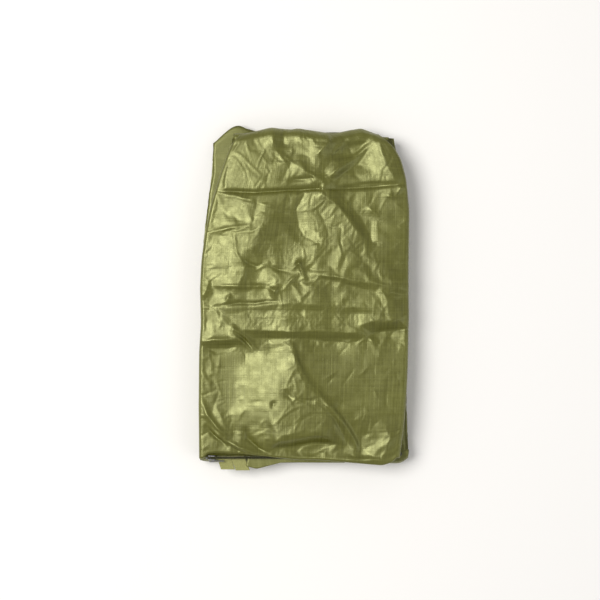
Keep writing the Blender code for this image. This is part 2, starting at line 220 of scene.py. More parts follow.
def ripstop(name, colour, deep, thread, roughness=0.38):
    """Coated ripstop nylon: a square grid of raised threads, a fine weave and small crinkles."""
    n = Nodes(name)
    where = n.cloth()
    split = n.put("SeparateXYZ", Vector=where).outputs
    warp = stripes(n, split[0], GRID, 0.7)
    weft = stripes(n, split[1], GRID, 0.6)
    grid = n.math("MAXIMUM", warp, n.math("MULTIPLY", weft, 0.85))
    threads = [n.math("SINE", n.math("MULTIPLY", across, 2 * math.pi * 1000 / WEAVE)) for across in split[:2]]
    weave = n.math("MULTIPLY", *threads)
    warp_streak = n.noise(n.put("Mapping", Vector=where, Scale=(1.0, 0.035, 1.0)).outputs[0], 1.5, 2.0)
    weft_streak = n.noise(n.put("Mapping", Vector=where, Scale=(0.03, 1.0, 1.0)).outputs[0], 1.9, 2.0)
    patch = n.noise(where, 46.0, 3.0, 0.55)
    tone = n.mix(n.fade(patch, 0.35, 0.68), deep, colour)
    streak = n.math("ADD", warp_streak, n.math("MULTIPLY", weft_streak, 0.6))
    tone = n.mix(n.fade(streak, 0.55, 1.05, 0.0, 0.5), tone, thread)
    shade = n.mix(n.math("MULTIPLY", grid, 0.16), tone, thread)
    crinkle = n.noise(where, 7.0, 2.0, 0.45)
    normal = n.bump(crinkle, 0.1, 0.6)
    normal = n.bump(warp_streak, 0.075, 1.0, normal)
    normal = n.bump(weft_streak, 0.1, 1.0, normal)
    normal = n.bump(grid, 0.035, 0.8, normal)
    normal = n.bump(weave, 0.012, 0.5, normal)
    rough = n.fade(n.noise(where, 9.0, 3.0), 0.3, 0.7, roughness - 0.05, roughness + 0.07)
    return n.set(
        Base_Color=shade,
        Roughness=rough,
        Normal=normal,
        Specular_IOR_Level=1.0,
        Specular_Tint=(0.97, 1.0, 0.50),
        IOR=1.6,
    )


def webbing():
    """Grosgrain: cross ribs over fine lengthwise ends."""
    n = Nodes("grosgrain_webbing")
    where = n.cloth()
    split = n.put("SeparateXYZ", Vector=where).outputs
    ribs = stripes(n, split[1], 0.9, 0.5)
    ends = stripes(n, split[0], 0.55, 0.3)
    height = n.math("ADD", ribs, n.math("MULTIPLY", ends, 0.35))
    fuzz = n.noise(where, 1.2, 3.0)
    tone = n.mix(n.fade(fuzz, 0.3, 0.75), (0.23, 0.23, 0.06), (0.40, 0.40, 0.14))
    tone = n.mix(n.math("MULTIPLY", ribs, 0.35), tone, (0.50, 0.50, 0.20))
    return n.set(
        Base_Color=tone,
        Roughness=0.7,
        Normal=n.bump(height, 0.18, 0.9),
        Sheen_Weight=0.25,
        Sheen_Roughness=0.4,
    )


def zip_fabric():
    """Woven zip tape, in a twill."""
    n = Nodes("zip_tape_twill")
    split = n.put("SeparateXYZ", Vector=n.cloth()).outputs
    slant = n.math("ADD", split[0], split[1])
    twill = stripes(n, slant, 0.7, 0.4)
    tone = n.mix(twill, (0.035, 0.034, 0.010), (0.075, 0.074, 0.024))
    return n.set(Base_Color=tone, Roughness=0.78, Normal=n.bump(twill, 0.12), Sheen_Weight=0.2)


def moulded(name, colour, pale, roughness):
    """Moulded plastic with a fine grain and rubbed, paler patches."""
    n = Nodes(name)
    where = n.object_space()
    grain = n.noise(where, 0.5, 3.0)
    rub = n.fade(n.noise(where, 5.0, 3.0), 0.48, 0.75)
    return n.set(
        Base_Color=n.mix(n.math("MULTIPLY", rub, 0.5), colour, pale),
        Roughness=n.fade(grain, 0.3, 0.7, roughness - 0.08, roughness + 0.12),
        Normal=n.bump(grain, 0.05, 0.6),
    )


def metal():
    """Cast zinc with a dull plating, scratched here and there."""
    n = Nodes("plated_zinc")
    where = n.object_space()
    stretched = n.put("Mapping", Vector=where, Scale=(1.0, 1.0, 9.0)).outputs[0]
    scratch = n.fade(n.noise(stretched, 1.6, 5.0, 0.7), 0.58, 0.7)
    cast = n.noise(where, 0.9, 3.0)
    return n.set(
        Base_Color=n.mix(scratch, (0.20, 0.20, 0.20), (0.52, 0.52, 0.50)),
        Metallic=1.0,
        Roughness=n.fade(cast, 0.3, 0.7, 0.24, 0.42),
        Normal=n.bump(cast, 0.05, 0.5),
    )


def braid():
    """Elastic cord in a braided sleeve, drawn by the angle round the cord."""
    n = Nodes("braided_cord")
    split = n.put("SeparateXYZ", Vector=n.object_space()).outputs
    out, up = n.math("SUBTRACT", split[1], CORD_Y / 1000), n.math("SUBTRACT", split[2], CORD_Z / 1000)
    around = n.math("MULTIPLY", n.math("ARCTAN2", up, out), 4.0)
    along = n.math("MULTIPLY", split[0], 2 * math.pi * 1000 / BRAID_PITCH)
    left = n.math("SINE", n.math("ADD", around, along))
    right = n.math("SINE", n.math("SUBTRACT", around, along))
    strand = n.math("MAXIMUM", left, right)
    tone = n.mix(n.fade(strand, 0.2, 1.0), (0.012, 0.012, 0.012), (0.06, 0.06, 0.055))
    return n.set(Base_Color=tone, Roughness=0.68, Normal=n.bump(strand, 0.1), Sheen_Weight=0.15)


def insect_net():
    """Fine black netting: round holes in rows between knitted threads."""
    n = Nodes("insect_netting")
    split = n.put("SeparateXYZ", Vector=n.cloth()).outputs
    threads = n.math("MAXIMUM", stripes(n, split[0], 1.1, 0.35), stripes(n, split[1], 1.1, 0.35))
    tone = n.mix(threads, (0.004, 0.004, 0.004), (0.035, 0.035, 0.035))
    return n.set(Base_Color=tone, Roughness=0.85, Normal=n.bump(threads, 0.2))


def label_tape():
    """Plain woven label: satin ribs and faint stains, with nothing printed on it."""
    n = Nodes("label_tape")
    where = n.cloth()
    split = n.put("SeparateXYZ", Vector=where).outputs
    ribs = stripes(n, split[1], 0.5, 0.25)
    stain = n.fade(n.noise(where, 6.0, 3.0), 0.4, 0.8)
    tone = n.mix(stain, (0.74, 0.73, 0.69), (0.58, 0.57, 0.52))
    return n.set(Base_Color=tone, Roughness=0.6, Normal=n.bump(ribs, 0.06), Sheen_Weight=0.1)


OLIVE, DEEP_OLIVE, THREAD = (0.066, 0.065, 0.004), (0.050, 0.048, 0.002), (0.13, 0.132, 0.024)
COATED, DEEP_COATED, COATED_THREAD = (0.13, 0.13, 0.032), (0.10, 0.10, 0.02), (0.2, 0.2, 0.07)

looks = {
    "ripstop": ripstop("ripstop_nylon", OLIVE, DEEP_OLIVE, THREAD),
    "floor": ripstop("coated_floor_nylon", COATED, DEEP_COATED, COATED_THREAD, roughness=0.33),
    "webbing": webbing(),
    "zip_tape": zip_fabric(),
    "zip_coil": moulded("zip_coil_nylon", (0.030, 0.029, 0.010), (0.08, 0.08, 0.03), 0.42),
    "lock": moulded("cord_lock_plastic", (0.018, 0.018, 0.018), (0.06, 0.06, 0.06), 0.4),
    "metal": metal(),
    "cord": braid(),
    "net": insect_net(),
    "label": label_tape(),
}


# ---- meshes --------------------------------------------------------------------------------
def thicken(obj, thickness=CLOTH):
    solid = obj.modifiers.new("cloth_thickness", "SOLIDIFY")
    solid.thickness = thickness / 1000
    solid.offset = 0


def surface(name, points, flat, look, closed=False, thickness=CLOTH):
    """A grid of cloth from points[row][column] and its flat coordinates, both in millimetres."""
    rows, columns = points.shape[:2]
    index = np.arange(rows * columns).reshape(rows, columns)
    if closed:
        index = np.concatenate([index, index[:, :1]], axis=1)
    corners = (index[:-1, :-1], index[:-1, 1:], index[1:, 1:], index[1:, :-1])
    faces = np.stack(corners, axis=-1).reshape(-1, 4)
    data = bpy.data.meshes.new(name)
    data.from_pydata((points.reshape(-1, 3) / 1000).tolist(), [], faces.tolist())
    data.shade_smooth()
    cloth = data.attributes.new("cloth", "FLOAT_VECTOR", "POINT")
    places = np.zeros((rows * columns, 3), np.float32)
    places[:, :2] = flat.reshape(-1, 2) / 1000
    cloth.data.foreach_set("vector", places.ravel())
    data.materials.append(look)
    obj = bpy.data.objects.new(name, data)
    bpy.context.scene.collection.objects.link(obj)
    thicken(obj, thickness)
    return obj


def stand_in(piece, slot, *nodes, body=None, flat=None):
    """Puts a piece in the place of CAD nodes; flat, the size of a sheet as it was cut in metres, is not used.
    """
    if body:
        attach(piece, body)
    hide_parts(*nodes)


CURVE_STEPS, CORNER = 400, 12  # steps along a curve, and how many each side round a corner off


def curve_through(keys, at):
    """The line along (place, value) keys with its corners rounded off, read at the places given."""
    places, values = np.array(keys, float).T
    fine = np.linspace(places[0], places[-1], CURVE_STEPS)
    kernel = np.hanning(2 * CORNER + 1)
    padded = np.pad(np.interp(fine, places, values), CORNER, "edge")
    return np.interp(at, fine, np.convolve(padded, kernel / kernel.sum(), "valid"))


def wander(count, step, reach, size):
    """A smooth random line of that many points, for the unevenness of a folded edge."""
    knots = rng.normal(size=int(count * step / reach) + 4)
    at = np.arange(count) * step / reach + 1
    low = np.floor(at).astype(int)
    t = at - low
    t = t * t * (3 - 2 * t)
    return size * (knots[low] * (1 - t) + knots[low + 1] * t)


# ---- creases of the top sheet --------------------------------------------------------------
# The line that the creased surface ends on, all round.
EDGE = [
    (-117, -172), (-118, -120), (-117.5, -60), (-115, -30), (-116, 10), (-113, 60), (-105, 100),
    (-95, 125), (-90, 150), (-82, 168), (-66, 181), (-38, 187), (-15, 185), (-8, 186), (11, 183),
    (31, 180), (50, 184), (63, 186), (77, 180), (98, 172), (107, 160), (112, 130), (116, 95),
    (115, 60), (114, 20), (115, -20), (113, -70), (113, -120), (109, -150), (101, -174), (86, -183),
    (45, -181), (12, -178), (-12, -178), (-35, -175), (-60, -172), (-95, -171), (-117, -172),
]
EDGE_HEIGHT, EDGE_TILT = -1.2, 0.027  # its height at the middle, and its rise to the right
# Facets that the creases divide the sheet into: how much each rises along x and along y, in mm
# per 100 mm, and its corners. A later facet lies on top of an earlier one.
FACETS = {
    "upper_left": (8, 0, [
        (-90, 118), (-84, 150), (-76, 170), (-50, 178), (-24, 176), (-18, 150), (-20, 120),
    ]),
    "upper_left_sheen": (12, -6, [(-78, 158), (-70, 156), (-46, 132), (-54, 122), (-62, 134)]),
    "left_rim_far": (24, -8, [
        (-96, 118), (-94, 140), (-87, 160), (-79, 175), (-70, 172), (-80, 158), (-85, 140), (-87, 118),
    ]),
    "far_rim": (10, -24, [
        (-79, 175), (-66, 181), (-38, 188), (-14, 187), (-20, 180), (-36, 178), (-54, 179), (-72, 171),
    ]),
    "fan_sheen": (16, -8, [
        (-52, 177), (-40, 177), (-34, 170), (-22, 152), (-18, 142), (-26, 146), (-40, 160),
    ]),
    "fan_gully": (-32, 6, [(-35, 176), (-26, 180), (-15, 187), (-22, 177), (-24, 166), (-31, 164)]),
    "fan_dome": (15, -4, [
        (-24, 177), (-14, 187), (0, 184), (8, 178), (12, 166), (18, 159), (6, 154), (-8, 158), (-22, 164),
    ]),
    "fan_dome_back": (2, -4, [(2, 182), (30, 179), (26, 172), (17, 160), (10, 168)]),
    "triangle": (14, -2, [
        (-22, 164), (-10, 158), (4, 155), (18, 158), (30, 156), (46, 153), (22, 138), (0, 146), (-14, 152),
    ]),
    "knot_gully": (-54, 12, [
        (-10, 150), (0, 143), (16, 138), (24, 132), (36, 123), (27, 121), (18, 130), (2, 137),
    ]),
    "knot_sheen": (17, -4, [
        (-14, 149), (-6, 143), (2, 137), (16, 130), (6, 126), (-14, 130), (-26, 124), (-20, 136),
    ]),
    "pocket_floor": (-72, 30, [
        (16, 158), (30, 173), (46, 171), (70, 173), (58, 165), (44, 161), (28, 156),
    ]),
    "back_flap": (0, 2, [(28, 175), (46, 184), (63, 186), (80, 179), (72, 173), (46, 172), (32, 173)]),
    "ridge_a_front": (24, -14, [
        (19, 134), (46, 154), (66, 167), (75, 173), (64, 160), (46, 147), (30, 134),
    ]),
    "ridge_a_back": (-40, 26, [
        (22, 131), (30, 134), (46, 147), (64, 160), (72, 168), (66, 156), (52, 142), (36, 130),
    ]),
    "right_fan": (17, -3, [
        (52, 140), (62, 150), (70, 164), (80, 172), (85, 158), (92, 140), (104, 122), (60, 124),
    ]),
    "right_fan_low": (6, 0, [(34, 122), (38, 130), (52, 141), (60, 124)]),
    "far_right_rim": (-12, -10, [
        (82, 172), (98, 172), (107, 155), (112, 128), (104, 122), (94, 140), (86, 156),
    ]),
    "under_pleat_left": (16, -4, [
        (-97, 113), (-98, 92), (-110, 78), (-62, 83), (-42, 92), (-56, 100), (-76, 107),
    ]),
    "under_pleat": (13, -2, [(-78, 113), (-20, 114), (10, 116), (6, 96), (-8, 94), (-30, 98), (-56, 106)]),
    "dark_valley": (-34, 30, [
        (-93, 115), (-76, 111), (-56, 105), (-30, 98), (-20, 92), (-30, 92), (-56, 99), (-76, 106),
    ]),
    "dark_hollow": (-6, 2, [
        (-42, 92), (-22, 93), (-12, 84), (-6, 64), (-12, 56), (-34, 56), (-44, 68), (-46, 80),
    ]),
    "lens": (18, -6, [
        (-112, 75), (-96, 78), (-60, 84), (-36, 93), (-46, 80), (-58, 72), (-80, 70), (-100, 72),
    ]),
    "great_face": (18, 0, [
        (-10, 96), (0, 112), (16, 117), (29, 106), (48, 86), (67, 61), (69, 48), (60, 45), (44, 56),
        (24, 58), (2, 66), (-6, 80),
    ]),
    "great_face_dim": (9, 0, [(2, 96), (12, 84), (14, 66), (22, 60), (28, 66), (22, 84), (14, 98)]),
    "great_back": (-46, 26, [
        (18, 119), (36, 114), (50, 98), (62, 82), (74, 60), (68, 60), (49, 86), (30, 106),
    ]),
    "beyond_ridge": (11, 0, [
        (38, 117), (66, 116), (74, 100), (80, 84), (80, 62), (74, 60), (62, 82), (50, 98),
    ]),
    "right_slope": (5, 0, [(82, 110), (112, 112), (115, 60), (113, 24), (82, 30), (80, 60)]),
    "tongue": (21, -2, [
        (-115, 36), (-104, 50), (-90, 68), (-78, 70), (-75, 50), (-72, 43), (-66, 36), (-65, 26), (-74, 13),
        (-104, 13), (-112, 24),
    ]),
    "left_streaks": (14, -2, [(-114, 66), (-108, 68), (-92, 66), (-106, 48), (-115, 40)]),
    "centre_left": (9, 0, [
        (-76, 66), (-60, 70), (-44, 66), (-30, 56), (-10, 58), (0, 64), (24, 58), (10, 42), (-20, 40),
        (-70, 44),
    ]),
    "tongue_gully": (-28, 14, [
        (-71, 43), (-62, 38), (-50, 36), (-38, 32), (-30, 27), (-48, 30), (-60, 32), (-66, 36),
    ]),
    "centre": (11, 0, [(-60, 30), (-38, 32), (-10, 30), (14, 30), (16, 22), (4, 10), (-26, 8), (-56, 14)]),
    "centre_dim": (-4, 0, [(14, 58), (30, 56), (44, 44), (40, 32), (20, 30), (10, 40)]),
    "centre_right": (9, 0, [
        (44, 44), (66, 46), (80, 56), (82, 30), (112, 28), (112, 12), (66, 20), (40, 26),
    ]),
    "right_crease": (-16, 50, [
        (16, 24), (36, 22), (64, 17), (90, 12), (113, 8), (112, 1), (92, 3), (70, 9), (40, 17),
    ]),
    "lower_centre": (13, 0, [
        (-28, 8), (4, 12), (16, 20), (40, 17), (70, 9), (78, 0), (78, -10), (20, -9), (-26, -5),
    ]),
    "right_peak": (26, 0, [(80, 8), (91, -6), (93, -25), (84, -14), (76, -8)]),
    "peak_back": (-26, 0, [(91, -6), (84, 6), (112, 1), (114, -28), (100, -26), (93, -25)]),
    "left_crumple": (9, 0, [(-106, 12), (-40, 12), (-28, 4), (-28, -5), (-104, -9)]),
    "left_nugget": (24, -4, [(-44, 10), (-30, 17), (-31, 6), (-36, 0), (-41, 2)]),
    "fold_face": (6, 20, [(-102, -10), (-20, -8), (84, -12), (86, -18), (20, -17), (-60, -16), (-84, -20)]),
    "below_fold": (8, 4, [
        (-84, -20), (-60, -16), (20, -17), (86, -18), (90, -25), (60, -32), (-20, -33), (-72, -32),
    ]),
    "trough_face": (0, 44, [
        (-72, -36), (-20, -38), (60, -40), (68, -47), (20, -47), (-20, -45), (-56, -44),
    ]),
    "left_shoulder": (15, 0, [
        (-112, -12), (-104, -11), (-90, -24), (-79, -36), (-80, -47), (-100, -48), (-113, -42),
    ]),
    "right_pocket": (-30, 44, [(60, -32), (90, -25), (104, -25), (115, -35), (96, -36), (72, -41)]),
    "cross_face": (22, -10, [
        (-80, -38), (-66, -42), (-52, -48), (-22, -51), (-17, -56), (-36, -60), (-50, -60), (-64, -52),
    ]),
    "pinch": (-10, 40, [(-114, -50), (-96, -50), (-68, -50), (-68, -54), (-94, -58), (-112, -56)]),
    "pillow": (18, -3, [
        (-93, -62), (-56, -62), (-20, -55), (-14, -60), (-12, -80), (-20, -98), (-18, -112), (-12, -122),
        (-36, -142), (-60, -152), (-76, -150), (-88, -120), (-98, -88),
    ]),
    "pillow_low": (16, 1, [
        (-60, -152), (-36, -142), (-12, -122), (2, -118), (24, -127), (33, -140), (20, -147), (-4, -147),
        (-24, -151), (-36, -166), (-50, -169),
    ]),
    "crest_face": (17, -4, [
        (-20, -98), (-12, -80), (-12, -60), (-6, -82), (2, -96), (20, -110), (8, -112), (-8, -113),
    ]),
    "crest_back": (-52, 12, [
        (-14, -53), (-8, -54), (-2, -76), (8, -92), (24, -108), (40, -120), (34, -124), (18, -110),
        (2, -97), (-8, -80), (-11, -62),
    ]),
    "dark_field": (-1, 0, [
        (-8, -54), (66, -50), (113, -56), (112, -120), (100, -160), (92, -140), (66, -126), (50, -130),
        (40, -120), (24, -108), (8, -92), (-2, -76),
    ]),
    "left_groove": (0, 0, [
        (-112, -66), (-100, -70), (-97, -92), (-88, -122), (-78, -148), (-84, -148), (-97, -122),
        (-106, -92),
    ]),
    "left_band": (16, 0, [
        (-118, -70), (-112, -68), (-106, -92), (-97, -122), (-86, -146), (-96, -146), (-110, -126),
        (-118, -110),
    ]),
    "near_left": (16, -2, [
        (-116, -130), (-108, -132), (-96, -150), (-80, -160), (-58, -171), (-100, -172), (-116, -172),
    ]),
    "arc_face": (30, -8, [
        (-8, -112), (10, -114), (24, -119), (36, -129), (46, -144), (58, -165), (52, -166), (40, -144),
        (28, -128), (12, -118),
    ]),
    "arc_back": (-56, 14, [
        (24, -119), (36, -129), (46, -144), (58, -165), (64, -168), (54, -146), (42, -130), (32, -120),
    ]),
    "between_arcs": (12, 0, [(36, -142), (42, -150), (54, -168), (38, -164), (37, -153)]),
    "mouth_face": (-18, 84, [
        (-36, -166), (-24, -151), (-3, -147), (14, -149), (33, -160), (14, -163), (-3, -165),
    ]),
    "near_right": (9, 0, [
        (64, -168), (56, -148), (50, -130), (66, -126), (90, -142), (92, -152), (80, -162),
    ]),
    "near_right_sheen": (20, 0, [(62, -170), (80, -162), (94, -151), (91, -166), (84, -177), (66, -177)]),
    "hem": (10, -20, [(-12, -172), (-3, -167), (34, -164), (62, -171), (84, -178), (40, -179), (0, -177)]),
}

# Small folds added to the surface that the facets give: (x, y, height) along each, and its spread.
FOLDS = {
    "fan_flick": ([(-18, 144, 0), (-28, 157, 1), (-44, 176, 0)], 5),
    "fan_wrinkle_a": ([(3, 170, 0), (-4, 178, 1), (-7, 186, 0)], 3),
    "fan_wrinkle_b": ([(-1, 170, 0), (-7, 176, 1), (-12, 186, 0)], 3),
    "pocket_spike_a": ([(29, 156, 0.5), (37, 164, 1.6), (45, 170, 0)], 3),
    "pocket_spike_b": ([(35, 156, 0), (40, 161, 1.2), (42, 168, 0)], 2),
    "pleat_notch": ([(-21, 128, 0), (-8, 129, -1), (8, 130, -0.8), (11, 131, 0)], 3.5),
    "pleat_left": ([
        (-94, 117, -0.8), (-78, 116, -2.2), (-55, 115, -2.2), (-23, 117, -2), (16, 119, -2.4), (20, 118, 0),
    ], 3),
    "pleat_right": ([(18, 118, -0.7), (35, 119, -1.9), (74, 121, -1.9), (106, 124, -0.8)], 3),
    "pleat_right_second": ([(35, 121, 0), (64, 124, -1), (105, 126, 0)], 2),
    "pleat_pinch": ([(100, 110, 0), (106, 120, 1.6), (108, 124, 0)], 3.5),
    "streak_a": ([(68, 100, 0), (74, 95, 1.2), (82, 88, 0)], 3.5),
    "streak_b": ([(85, 113, 0), (93, 111, 1), (101, 108, 0)], 3),
    "lens_low": ([(-108, 71, 0), (-86, 75, 1.2), (-58, 80, 0)], 3.5),
    "tongue_fold": ([(-71, 43, -0.4), (-61, 37, -1.8), (-53, 34, -1), (-40, 38, 0)], 4),
    "crinkle": ([(-39, 34, 0), (-29, 30, -1.2), (-15, 28, 0)], 3),
    "star_a": ([(-15, 29, 0), (-7, 37, 2)], 3.5),
    "star_b": ([(2, 17, 0), (-3, 29, 1.6), (-6, 37, 2)], 3.5),
    "star_c": ([(-23, 10, 0), (-13, 20, 1.2), (-5, 26, 0)], 3.5),
    "star_d": ([(-3, 32, 0), (6, 31, -1), (14, 29, 0)], 3),
    "left_low": ([(-102, 13, 0), (-73, 12, 1.6), (-50, 12, 1.4), (-38, 12, 0)], 4),
    "crumple_a": ([(-36, -1, 0), (-32, 7, 2), (-29, 15, 0)], 4),
    "crumple_b": ([(-42, 12, 0), (-36, 8, 1.4), (-32, 4, 0)], 3),
    "middle_left": ([(-104, -11, 0), (-73, -7, -1.6), (-53, -7, -1.4), (-26, -4, 0)], 3.5),
    "left_nick": ([(-87, -8, 0), (-84, -1, 1.4), (-82, 4, 0)], 3.5),
    "left_cheek": ([(-114, -3, 0), (-108, 8, 1.6), (-105, 21, 0)], 6),
    "right_flick": ([(79, -58, 0), (74, -48, 1.3), (70, -45, 0)], 3),
    "cross_a": ([(-78, -35, 1.5), (-64, -45, 2.2), (-51, -60, 0)], 3.5),
    "cross_b": ([(-80, -40, 0.5), (-70, -48, 2), (-56, -61, 0)], 3),
    "cross_valley": ([(-78, -37, 0), (-67, -46, -2.4), (-54, -61, 0)], 2.5),
    "pinch_low": ([(-114, -54, 0), (-97, -59, -3.2), (-69, -55, 0)], 3.5),
    "pinch_lip": ([(-112, -50, 0), (-100, -47, 1.8), (-78, -47, 1.2)], 4.5),
    "arc_valley": ([(52, -169, 0), (42, -150, -1.6), (33, -133, -1.2), (23, -124, 0)], 3),
    "left_arc_a": ([
        (-114, -112, 0), (-107, -130, 2.4), (-97, -143, 2.7), (-86, -154, 1.1), (-78, -150, 0),
    ], 4.5),
    "left_arc_b": ([(-110, -140, 0), (-100, -152, -2.7), (-88, -161, -1.4)], 3),
    "left_arc_c": ([(-107, -141, 0), (-95, -153, 2.2), (-86, -161, 0.7)], 3),
    "left_arc_d": ([(-91, -156, 0), (-73, -166, 3), (-55, -172, 1.6), (-40, -173, 0)], 5),
    "left_arc_e": ([(-87, -160, 0), (-73, -169, -2.2), (-57, -173, 0)], 3),
    "near_seam": ([(-36, -173, 0), (-50, -167, -2.2), (-63, -156, -2.2), (-65, -143, 0)], 4.5),
    "dimple_a": ([(-36, -124, 0), (-34, -117, -1.2), (-36, -114, 0)], 3.5),
    "dimple_b": ([(-13, -114, 0), (-18, -108, -1.6), (-20, -100, 0)], 4.5),
    "hem_right": ([(20, -177, 0), (52, -179, 1), (84, -180, 1), (97, -178, 0)], 5),
}
FOLD_GAIN = 1.6
FIELD_X, FIELD_Y, FIELD_STEP, FINE_STEP = 132.0, 202.0, 1.1, 0.7
FACET_GAIN, FACET_REACH = 1.8, 85.0  # a facet's slope is multiplied, and evens out over this reach
LOWEST_FREE, LOWEST_SOFT = -3.4, 1.0  # below this height the broad creases come to rest
HIGHEST_FREE, HIGHEST_SOFT = 5.4, 2.2  # and above this one the weight of the cloth flattens them
HOOD_TOP, HOOD_SOFT = 30.1, 0.5  # no crease dips below the hood, which is this high
FACET_SMOOTH, FILM_SMOOTH, LAST_SMOOTH = 0.9, 0.6, 0.45  # reach of each smoothing
FOLD_SHARP, RIM_SHARP, CRUMPLE_SHARP = 0.35, 0.3, 0.5  # radius that a crease's top is rounded to
RIM_BOW, RIM_MOST, RIM_RANGE, RIM_ENDS = 0.05, 1.6, (0.1, 0.55), 0.3  # creases along facets' rims
RIM_SPREAD, RIM_SPREAD_MOST, RIM_PER_SLOPE = 1.2, 2.6, 20


class Field:
    """Heights on a square grid round the origin, in millimetres."""

    def __init__(self, step, heights=None):
        self.step = step
        self.x = np.linspace(-FIELD_X, FIELD_X, int(round(2 * FIELD_X / step)) + 1)
        self.y = np.linspace(-FIELD_Y, FIELD_Y, int(round(2 * FIELD_Y / step)) + 1)
        self.z = np.zeros((len(self.y), len(self.x))) if heights is None else heights

    def at(self, x, y):
        """Bilinear reading at any points."""
        u = np.clip((x + FIELD_X) / (self.x[1] - self.x[0]), 0, len(self.x) - 1.001)
        v = np.clip((y + FIELD_Y) / (self.y[1] - self.y[0]), 0, len(self.y) - 1.001)
        i, j = np.floor(u).astype(int), np.floor(v).astype(int)
        u, v = u - i, v - j
        low = self.z[j, i] * (1 - u) + self.z[j, i + 1] * u
        high = self.z[j + 1, i] * (1 - u) + self.z[j + 1, i + 1] * u
        return low * (1 - v) + high * v

    def smoothed(self, sigma):
        reach = int(math.ceil(3 * sigma / self.step))
        kernel = np.exp(-0.5 * (np.arange(-reach, reach + 1) * self.step / sigma) ** 2)
        kernel /= kernel.sum()
        z = np.pad(self.z, ((reach, reach), (0, 0)), "edge")
        z = sum(k * z[i:i + len(self.y)] for i, k in enumerate(kernel))
        z = np.pad(z, ((0, 0), (reach, reach)), "edge")
        z = sum(k * z[:, i:i + len(self.x)] for i, k in enumerate(kernel))
        return Field(self.step, z)

    def under(self, line):
        """Which cells a line runs through."""
        hit = np.zeros(self.z.shape, bool)
        for (x0, y0), (x1, y1) in zip(line, line[1:]):
            t = np.linspace(0, 1, int(math.hypot(x1 - x0, y1 - y0) / self.step * 2) + 2)
            i = np.rint((x0 + t * (x1 - x0) + FIELD_X) / (self.x[1] - self.x[0])).astype(int)
            j = np.rint((y0 + t * (y1 - y0) + FIELD_Y) / (self.y[1] - self.y[0])).astype(int)
            hit[j, i] = True
        return hit

    def within(self, corners):
        """Which cells lie in a polygon."""
        x, y = np.meshgrid(self.x, self.y)
        hit = np.zeros(self.z.shape, bool)
        for (x0, y0), (x1, y1) in zip(corners, corners[1:] + corners[:1]):
            if y0 != y1:
                hit ^= ((y0 > y) != (y1 > y)) & (x < (x1 - x0) * (y - y0) / (y1 - y0) + x0)
        return hit


def seeds_of(count, steep):
    """Places, directions and slopes of the small facets that crumpling leaves in the cloth."""
    return np.stack([
        rng.uniform(-118, 118, count), rng.uniform(-182, 186, count), rng.uniform(0, math.pi, count),
        rng.normal(scale=steep, size=count), rng.normal(scale=steep, size=count),
    ], 1)


CRUMPLE = (seeds_of(180, 0.07), seeds_of(800, 0.055))
LONG = 2.4  # how much longer than wide a small facet is
CALM_SHARE = 0.35  # the crumpling that the calm part of the sheet keeps
CALM = [(-2, -58), (66, -54), (113, -60), (112, -118), (98, -150), (66, -128), (50, -132), (10, -96)]


def crumpled(field, seeds):
    """The slopes of the small facet that each cell belongs to."""
    x, y = np.meshgrid(field.x, field.y)
    nearest, owner = np.full(x.shape, 1e9), np.zeros(x.shape, int)
    for number, (seed_x, seed_y, turn, _, _) in enumerate(seeds):
        dx, dy = x - seed_x, y - seed_y
        along = (dx * math.cos(turn) + dy * math.sin(turn)) / LONG
        away = along ** 2 + (dy * math.cos(turn) - dx * math.sin(turn)) ** 2
        owner = np.where(away < nearest, number, owner)
        nearest = np.minimum(away, nearest)
    return seeds[owner, 3], seeds[owner, 4]


def rested(height, low, soft):
    """Heights that ease to a stop instead of going below low."""
    return np.maximum(height, low) + soft * (np.exp(np.minimum(height - low, 0) / soft) - 1)


def facet_divergence(field):
    """How the slopes of the facets spread apart at each cell."""
    rise_x, rise_y = Field(field.step), Field(field.step)
    for slope_x, slope_y, corners in FACETS.values():
        facet = field.within(corners)
        rise_x.z[facet] = slope_x / 100 * FACET_GAIN
        rise_y.z[facet] = slope_y / 100 * FACET_GAIN
    amount = np.where(field.within(CALM), CALM_SHARE, 1.0)
    for seeds in CRUMPLE:
        crumple_x, crumple_y = crumpled(field, seeds)
        rise_x.z += crumple_x * amount
        rise_y.z += crumple_y * amount
    if field.step < 2:
        rise_x, rise_y = rise_x.smoothed(FACET_SMOOTH), rise_y.smoothed(FACET_SMOOTH)
    return np.gradient(rise_x.z, field.step, axis=1) + np.gradient(rise_y.z, field.step, axis=0)


def faceted(levels=6, turns=360):
    """The surface that comes nearest to the facets' slopes, solved from coarse to fine."""
    film = None
    for level in reversed(range(levels)):
        finer = Field(FIELD_STEP * 2 ** level)
        if film is not None:
            finer.z = film.at(*np.meshgrid(finer.x, finer.y))
        rim, source = finer.under(EDGE), facet_divergence(finer) * finer.step ** 2
        edge = (EDGE_HEIGHT + EDGE_TILT * np.meshgrid(finer.x, finer.y)[0])[rim]
        pull = (finer.step / FACET_REACH) ** 2
        for _ in range(turns):
            z = np.pad(finer.z, 1, "edge")
            around = z[:-2, 1:-1] + z[2:, 1:-1] + z[1:-1, :-2] + z[1:-1, 2:]
            finer.z = (around - source) / (4 + pull)
            finer.z[rim] = edge
        film = finer
    return film


def add_fold(x, y, z, line, spread, sharp):
    """Adds one small tent-shaped fold along a line to the heights z, in place."""
    best, height = np.full(x.shape, 1e9), np.zeros_like(x)
    for (x0, y0, h0), (x1, y1, h1) in zip(line, line[1:]):
        dx, dy = x1 - x0, y1 - y0
        t = np.clip(((x - x0) * dx + (y - y0) * dy) / (dx * dx + dy * dy), 0, 1)
        away = np.hypot(x - x0 - t * dx, y - y0 - t * dy)
        height = np.where(away < best, h0 + t * (h1 - h0), height)
        best = np.minimum(away, best)
    z += height * np.exp(-(np.sqrt(best ** 2 + sharp ** 2) - sharp) / (spread * 0.6))


